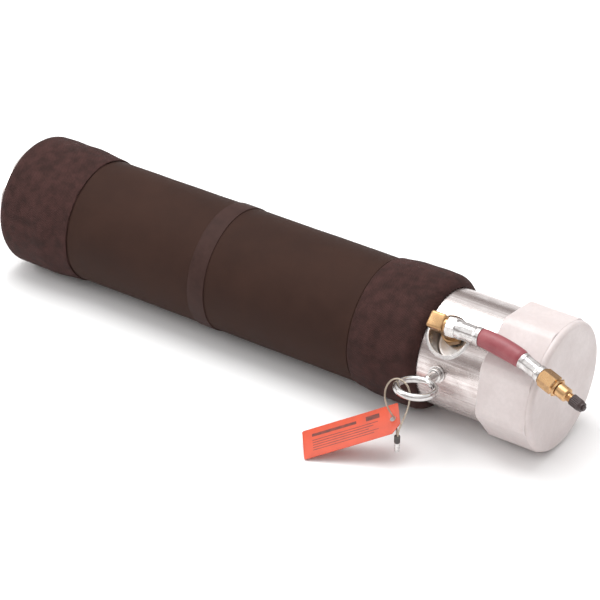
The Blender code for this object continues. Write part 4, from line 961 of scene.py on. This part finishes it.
def ferrule(start, end, outer, mouth_at_end):
    """Crimped sleeve: eight pressed flats between two plain collars."""
    wall = 0.0007
    rows = [(start, outer - wall), (start, outer, 0.0004)]
    rows += [(x, outer) for x in row_of(start + 0.0010, end - 0.0010, 0.0007)]
    rows += [(end, outer, 0.0004), (end, outer - wall)]
    shape = spun(softened(rows, 0.0002), 144)
    low = start + (0.0035 if mouth_at_end else 0.0030)
    high = end - 0.0040

    def rule(x, r, angle):
        if r < outer - wall / 2:
            return r
        near = min((x - low) / 0.0009, (high - x) / 0.0009, 1)
        if near <= 0:
            return r
        press = 0.00042 + 0.00026 * abs(cos(4 * angle)) ** 3
        return r - press * near * near * (3 - 2 * near)

    reshape(shape, rule)
    return shape


def bend_hose(shape):
    """Bend a shape that is straight along the outlet's X to the hose's curve."""
    start = INNER_FERRULE[1]
    for vert in shape.verts:
        distance, side, height = vert.co
        bent = min(max(distance - start, 0), HOSE_FREE)
        angle = bent / BEND_RADIUS
        past = distance - start - bent
        vert.co.x = start + (BEND_RADIUS + side) * sin(angle) + past * cos(angle)
        vert.co.y = BEND_RADIUS * (cos(angle) - 1) + side * cos(angle) - past * sin(angle)


def build_hose():
    """Short red hose, necked down where the ferrules grip it."""
    first = INNER_FERRULE[1]
    last = first + HOSE_FREE
    rows = [(first - 0.0200, HOSE_BORE), (first - 0.0200, 0.0070), (first - 0.0010, 0.0070),
            (first + 0.0006, HOSE_RADIUS - 0.0005), (first + 0.0030, HOSE_RADIUS - 0.0001)]
    rows += [(x, HOSE_RADIUS - 0.0001) for x in row_of(first + 0.005, last - 0.005, 0.0012)]
    rows += [(last - 0.0030, HOSE_RADIUS - 0.0001), (last - 0.0006, HOSE_RADIUS - 0.0007),
             (last + 0.0010, 0.0062), (last + 0.0200, 0.0062), (last + 0.0200, HOSE_BORE)]
    shape = spun(softened(rows, 0.0003), 96)
    bend_hose(shape)
    piece("inflation_hose_red", shape, OUTLET, "plug", HOSE_RUBBER,
          "inflation_hose")


piece("inner_ferrule_crimped", ferrule(*INNER_FERRULE, True), OUTLET, "plug",
      PLATED, "inner_ferrule")
piece("outer_ferrule_crimped", ferrule(*OUTER_FERRULE, False), VALVE, "plug",
      PLATED, "outer_ferrule")
build_hose()

# ---------------------------------------------------------------- inflation valve
VALVE_THREAD = 0.0039
VALVE_PITCH = 0.000794
VALVE_BORE = 0.0026


def build_valve():
    """Hexagon adapter and the threaded stem that the cap screws onto."""
    adapter = nut(0.0223, 0.0403, 0.0148, 0.0026, 0.0, 0.0014)

    def groove(x, r, angle):
        inside = abs(x - 0.0378) < 0.0006 and r > 0.0066
        return 0.0066 if inside else r

    reshape(adapter, groove)
    piece("valve_adapter_turned", adapter, VALVE, "plug", BRASS, "valve_adapter")
    rows = [(0.0406, VALVE_BORE), (0.0406, 0.0060, 0.0004), (0.0496, 0.0060, 0.0003),
            (0.0506, 0.0046), (0.0508, VALVE_THREAD - 0.0004), (0.0655, VALVE_THREAD - 0.0004, 0.0003),
            (0.0655, VALVE_BORE)]
    stem = spun(softened(rows, 0.0002), 96)
    turns = (0.0650 - 0.0514) / VALVE_PITCH
    add_thread(stem, 0.0514, turns, VALVE_PITCH, VALVE_THREAD - 0.0004, VALVE_THREAD, 48)
    piece("valve_stem_threaded", stem, VALVE, "plug", BRASS, "valve_stem")


def build_valve_cap():
    """Small black screw cap with grip flutes and a rounded, drawn-in tip."""
    start, end, outer = 0.0550, 0.0685, 0.0049
    rows = [(start, 0.0042), (start, outer, 0.0003)]
    rows += [(x, outer) for x in row_of(start + 0.0006, end - 0.0048, 0.0006)]
    rows += [(end - 0.0042, outer - 0.0003), (end - 0.0030, 0.0042), (end - 0.0022, 0.0030),
             (end - 0.0018, 0.0026), (end - 0.0004, 0.0025, 0.0003), (end, 0.0021, 0.0002), (end, 0),
             (0.0669, 0), (0.0669, 0.0020), (0.0666, 0.0042)]
    shape = spun(softened(rows, 0.0002), 240)
    flutes = 20

    def rule(x, r, angle):
        if r < outer - 0.0002 or x > end - 0.0050:
            return r
        near = min((x - start - 0.0004) / 0.0005, (end - 0.0050 - x) / 0.0008, 1)
        return r - 0.00036 * max(near, 0) * (0.5 + 0.5 * cos(flutes * angle)) ** 1.5

    reshape(shape, rule)
    piece("valve_cap_moulded", shape, VALVE, "valve_cap", CAP_BLACK, "valve_cap")


build_valve()
build_valve_cap()

# ---------------------------------------------------------------- lifting eye
RING_RADIUS = 0.0160
RING_BAR = 0.0031


def build_eye():
    """Bent eye bolt: ring, neck and shank, with its collar."""
    ring = bmesh.new()
    bmesh.ops.create_circle(ring, radius=RING_BAR, segments=32)
    bmesh.ops.rotate(ring, verts=ring.verts, matrix=Matrix.Rotation(pi / 2, 3, "Y"))
    bmesh.ops.translate(ring, verts=ring.verts, vec=(0, 0, RING_RADIUS))
    bmesh.ops.spin(ring, geom=ring.verts[:] + ring.edges[:], cent=(0, 0, 0), axis=(0, 1, 0),
                   angle=tau, steps=128, use_merge=True)
    placed(ring, Matrix.Translation((EYE_HEIGHT, 0, 0)) @ Matrix.Rotation(pi / 2, 4, "Y"))
    top = EYE_HEIGHT - RING_RADIUS
    rows = [(0.0383, 0), (0.0383, EYE_SHANK, 0.0004), (0.0531, EYE_SHANK), (0.0531, 0.0060, 0.0004),
            (0.0566, 0.0060, 0.0006), (0.0572, 0.0044), (0.0590, 0.0042), (0.0640, 0.0042),
            (top - 0.0018, 0.0040), (top, 0.0030, 0), (top, 0, 0)]
    shape = together(spun(softened(rows, 0.0003), 72), ring)
    piece("eye_bolt_forged", shape, EYE @ UPRIGHT, "plug", FORGED, "eye_bolt")
    piece("eye_outer_washer_pressed", pipe(0.0513, 0.0528, 0.0033, 0.0075, 72), EYE @ UPRIGHT,
          "plug", PLATED, "eye_outer_washer")


build_eye()


# ---------------------------------------------------------------- tag and its lanyard
def tag_vinyl():
    """Orange vinyl with plain dark printed bars, and no lettering."""
    made, tree, shader = finish_of("tag_vinyl")
    uv = put(tree, "ShaderNodeUVMap", {"uv_map": "print"})
    parts = put(tree, "ShaderNodeSeparateXYZ", Vector=uv.outputs[0])
    u, v = parts.outputs[0], parts.outputs[1]

    def between(value, low, high):
        above = reckon(tree, "GREATER_THAN", value, low)
        return reckon(tree, "MULTIPLY", above, reckon(tree, "LESS_THAN", value, high))

    ink = 0.0
    bars = [(0.10, 0.56, 0.70, 0.80)]
    bars += [(0.10, 0.78 - 0.05 * (row % 3), 0.56 - 0.085 * row, 0.585 - 0.085 * row)
             for row in range(5)]
    bars += [(0.66, 0.80, 0.68, 0.84)]
    for low_u, high_u, low_v, high_v in bars:
        mark = reckon(tree, "MULTIPLY", between(u, low_u, high_u), between(v, low_v, high_v))
        ink = reckon(tree, "MAXIMUM", ink, mark)
    fade = use(tree, SMUDGES, Size=0.004, Contrast=0.6).outputs["Mask"]
    ink = reckon(tree, "MULTIPLY", ink, reckon(tree, "SUBTRACT", 0.92, reckon(tree, "MULTIPLY", fade, 0.25)))
    patches = use(tree, SMUDGES, Size=0.012, Contrast=0.4).outputs["Mask"]
    colour = blend_colour(tree, patches, (0.60, 0.072, 0.027), (0.51, 0.064, 0.027))
    colour = blend_colour(tree, ink, colour, (0.05, 0.022, 0.020))
    tree.links.new(colour, shader.inputs["Base Color"])
    tree.links.new(reckon(tree, "ADD", 0.38, reckon(tree, "MULTIPLY", patches, 0.12)),
                   shader.inputs["Roughness"])
    bump(tree, shader, use(tree, GRAIN, Size=0.0008).outputs["Height"], 0.00003, 0.5)
    return made


TAG_VINYL = tag_vinyl()
TAG_LOW, TAG_HIGH, TAG_HALF, TAG_THICK = -0.0800, 0.0060, 0.0150, 0.0008


def build_tag():
    """Thin tag with one corner cut off, a punched hole, and a slight curl."""
    plate = bmesh.new()
    bmesh.ops.create_cube(plate, size=1)
    middle = (TAG_LOW + TAG_HIGH) / 2
    size = Matrix.Diagonal((TAG_HIGH - TAG_LOW, 2 * TAG_HALF, TAG_THICK - 0.0002, 1))
    placed(plate, Matrix.Translation((middle, 0, 0)) @ size)
    uprights = [edge for edge in plate.edges if abs(edge.verts[0].co.z - edge.verts[1].co.z) > 1e-5]
    cut = [edge for edge in uprights
           if edge.verts[0].co.x > middle and edge.verts[0].co.y < 0]
    rest = [edge for edge in uprights if edge not in cut]
    bmesh.ops.bevel(plate, geom=rest, offset=0.0015, segments=5, profile=0.5, affect="EDGES")
    cut = [edge for edge in plate.edges if abs(edge.verts[0].co.z - edge.verts[1].co.z) > 1e-5
           and edge.verts[0].co.x > middle + 0.04 and edge.verts[0].co.y < -0.0149
           and edge.verts[0].co.x > TAG_HIGH - 0.0001]
    bmesh.ops.bevel(plate, geom=cut, offset=0.0080, segments=1, profile=0.5, affect="EDGES")
    hole = placed(round_bar(-0.01, 0.01, 0.0026, 48), UPRIGHT)
    plate = carved(plate, [hole])
    for x in row_of(TAG_LOW + 0.003, TAG_HIGH - 0.003, 0.003):
        bmesh.ops.bisect_plane(plate, geom=plate.verts[:] + plate.edges[:] + plate.faces[:],
                               plane_co=(x, 0, 0), plane_no=(1, 0, 0))
    rim = [edge for edge in plate.edges if edge.is_manifold and edge.calc_face_angle() > radians(60)]
    bmesh.ops.bevel(plate, geom=rim, offset=0.00012, segments=2, profile=0.5, affect="EDGES")
    layer = plate.loops.layers.uv.new("print")
    for face in plate.faces:
        for loop in face.loops:
            spot = loop.vert.co
            loop[layer].uv = ((spot.x - TAG_LOW) / (TAG_HIGH - TAG_LOW),
                              (spot.y + TAG_HALF) / (2 * TAG_HALF))
    for vert in plate.verts:
        share = vert.co.x / TAG_LOW
        vert.co.z += 0.0010 * share * share * sin(2.4 * share)
    piece("tag_plate_vinyl", plate, TAG, "tag", TAG_VINYL, "tag_plate")


build_tag()

RING = Matrix.Translation(eye_centre)
WIRE_RADIUS = 0.00075
CRIMP_TOP = Vector((-0.0085, -0.0133, -0.0433))
WIRE_ROUTE = (
    (-7.6, -14.1, -43.0), (-7.3, -14.0, -39.8), (-6.3, -13.0, -34.3),
    (-4.4, -11.2, -26.8), (-2.6, -8.8, -18.8), (-2.0, -6.3, -10.8),
    (-2.8, -4.4, -4.3), (-6.0, -2.8, 1.0), (-10.8, -2.3, 3.9),
    (-16.0, -2.4, 4.7), (-20.9, -3.2, 2.2), (-24.3, -4.4, -3.0),
    (-25.9, -5.5, -9.5), (-25.4, -6.2, -16.5), (-23.2, -6.3, -23.3),
    (-20.0, -5.4, -29.6), (-17.9, -4.1, -33.6), (-17.1, -2.7, -36.8),
    (-16.2, -3.0, -39.6), (-14.2, -5.6, -41.0), (-11.6, -9.0, -41.1),
    (-9.9, -11.7, -41.7), (-9.4, -12.5, -43.0),
)                                 # mm from the middle of the eye's ring


def smooth_route(points, steps):
    """Points along a smooth line through the route's points."""
    route = [points[0]]
    for i in range(len(points) - 1):
        before = points[max(i - 1, 0)]
        first, last = points[i], points[i + 1]
        after = points[min(i + 2, len(points) - 1)]
        for k in range(1, steps + 1):
            t = k / steps
            route.append(0.5 * (2 * first + (last - before) * t
                                + (2 * before - 5 * first + 4 * last - after) * t * t
                                + (3 * first - 3 * last + after - before) * t ** 3))
    return route


def follow(shape, route):
    """Lay a shape that is straight along X onto a route, without twisting it."""
    steps = [(b - a).length for a, b in zip(route, route[1:])]
    runs = [sum(steps[:i]) for i in range(len(route))]
    across = [Vector((0, 0, 1)).cross(route[1] - route[0]).normalized()]
    ahead = [(b - a).normalized() for a, b in zip([route[0]] + route[:-1], route[1:] + [route[-1]])
             if (b - a).length > 0]
    for way in ahead[1:]:
        across.append((across[-1] - way * across[-1].dot(way)).normalized())
    for vert in shape.verts:
        x, y, z = vert.co
        x = min(max(x, 0), runs[-1] - 1e-9)
        i = max(k for k in range(len(runs) - 1) if runs[k] <= x)
        t = (x - runs[i]) / steps[i]
        side = across[i].lerp(across[i + 1], t).normalized()
        way = ahead[i].lerp(ahead[i + 1], t).normalized()
        vert.co = route[i].lerp(route[i + 1], t) + side * y + way.cross(side) * z


def build_lanyard():
    """Seven-strand wire loop, its black cover and its crimp."""
    route = smooth_route([Vector(point) / 1000 for point in WIRE_ROUTE], 4)
    length = sum((b - a).length for a, b in zip(route, route[1:]))
    strand = WIRE_RADIUS / 3
    lay = 0.0065
    wire = round_bar(0, length, strand, 8)
    per_turn = 18
    for k in range(6):
        circle = bmesh.new()
        bmesh.ops.create_circle(circle, radius=strand, segments=8)
        bmesh.ops.rotate(circle, verts=circle.verts, matrix=Matrix.Rotation(pi / 2, 3, "Y"))
        bmesh.ops.translate(circle, verts=circle.verts, vec=(0, 0, 2 * strand))
        bmesh.ops.rotate(circle, verts=circle.verts, matrix=Matrix.Rotation(tau * k / 6, 3, "X"))
        turns = length / lay
        bmesh.ops.spin(circle, geom=circle.verts[:] + circle.edges[:], cent=(0, 0, 0),
                       axis=(1, 0, 0), dvec=(lay / per_turn, 0, 0), angle=tau * turns,
                       steps=round(turns * per_turn), use_merge=False)
        wire = together(wire, circle)
    follow(wire, route)
    tag_wire = piece("tag_wire_stranded", wire, RING, "lanyard", CABLE,
                     "tag_wire", 60)
    down = RING @ Matrix.Translation(CRIMP_TOP) @ Matrix.Rotation(pi / 2, 4, "Y")
    cover = spun(softened([(0, 0), (0, 0.0026, 0.0006), (0.0065, 0.0025, 0.0004), (0.0065, 0)],
                          0.0003), 40)
    cover = piece("crimp_cover_shrunk", cover, down, "lanyard", SHRINK_BLACK,
                  "crimp_cover")
    rows = [(0.0068, 0), (0.0068, 0.0022, 0.0003)]
    rows += [(x, 0.0024) for x in row_of(0.0074, 0.0147, 0.0004)]
    rows += [(0.0153, 0.0022, 0.0003), (0.0153, 0)]
    crimp = spun(softened(rows, 0.0002), 48)
    reshape(crimp, lambda x, r, angle: r - (0.0004 * (0.5 - 0.5 * cos(tau * (x - 0.0068) / 0.0028))
                                           * abs(cos(angle)) if r > 0.002 else 0))
    crimp = piece("wire_crimp_pressed", crimp, down, "lanyard", PLATED,
                  "wire_crimp")


build_lanyard()

# ---------------------------------------------------------------- pieces kept as packed
KEPT = {
    "rear_outer_band": STAINLESS, "rear_inner_band": STAINLESS, "front_outer_band": STAINLESS,
    "front_inner_band": STAINLESS, "end_cap_gasket": SEAL_BLACK, "bladder_port": BRASS,
    "bulkhead_nut": BRASS, "air_line": NYLON, "elbow_seal": SEAL_BLACK,
    "inner_hose_tail": PLATED, "outer_hose_tail": PLATED, "valve_core_body": BRASS,
    "valve_core_pin": BRASS, "valve_core_spring": STAINLESS, "valve_cap_washer": SEAL_BLACK,
    "eye_nut": PLATED, "eye_inner_washer": PLATED,
}
for item in bpy.data.objects:
    if item.type == "MESH" and not item.hide_render and "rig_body" not in item:
        if item.name in KEPT:
            for index in range(len(item.material_slots)):
                item.material_slots[index].material = KEPT[item.name]
        else:
            print("kept without a finish:", item.name)

# ---------------------------------------------------------------- floor and light
floor_mesh = bpy.data.meshes.new("floor")
floor_shape = bmesh.new()
bmesh.ops.create_grid(floor_shape, x_segments=1, y_segments=1, size=6)
floor_shape.to_mesh(floor_mesh)
floor_shape.free()
floor = bpy.data.objects.new("floor", floor_mesh)
bpy.context.scene.collection.objects.link(floor)
paper, paper_tree, paper_shader = finish_of("pale_paper")
paper_shader.inputs["Base Color"].default_value = (0.92, 0.92, 0.92, 1)
paper_shader.inputs["Roughness"].default_value = 0.9
floor_mesh.materials.append(paper)

world = bpy.data.worlds.new("studio")
bpy.context.scene.world = world
world.use_nodes = True
room = world.node_tree
facing = put(room, "ShaderNodeTexCoord").outputs["Generated"]
height = put(room, "ShaderNodeSeparateXYZ", Vector=facing).outputs[2]
walls = put(room, "ShaderNodeTexNoise", Vector=facing, Scale=2.2, Detail=1.0).outputs[0]
raised = reckon(room, "ADD", height, reckon(room, "MULTIPLY", walls, 0.25))
above = ramp_value(room, raised, 0.46, 0.70)
below = ramp_value(room, height, 0.10, 0.24, 1.0, 0.0)
daylight = reckon(room, "MAXIMUM", above, below)
shade = blend_colour(room, daylight, (0.22, 0.175, 0.165), (1.0, 1.0, 1.0))
room.links.new(shade, room.nodes["Background"].inputs["Color"])
room.nodes["Background"].inputs["Strength"].default_value = 1.05
bpy.context.scene.view_settings.view_transform = "Standard"


def soft_light(name, place, size, power, colour=(1, 1, 1)):
    """A large square lamp that faces the plug."""
    data = bpy.data.lights.new(name, "AREA")
    data.size = size
    data.energy = power
    data.color = colour
    lamp = bpy.data.objects.new(name, data)
    lamp.location = place
    lamp.rotation_euler = (centre - Vector(place)).to_track_quat("-Z", "Y").to_euler()
    bpy.context.scene.collection.objects.link(lamp)


soft_light("overhead", (-0.2, 0.1, 1.6), 1.2, 20)
soft_light("window", (-1.4, -0.9, 1.1), 0.9, 9)
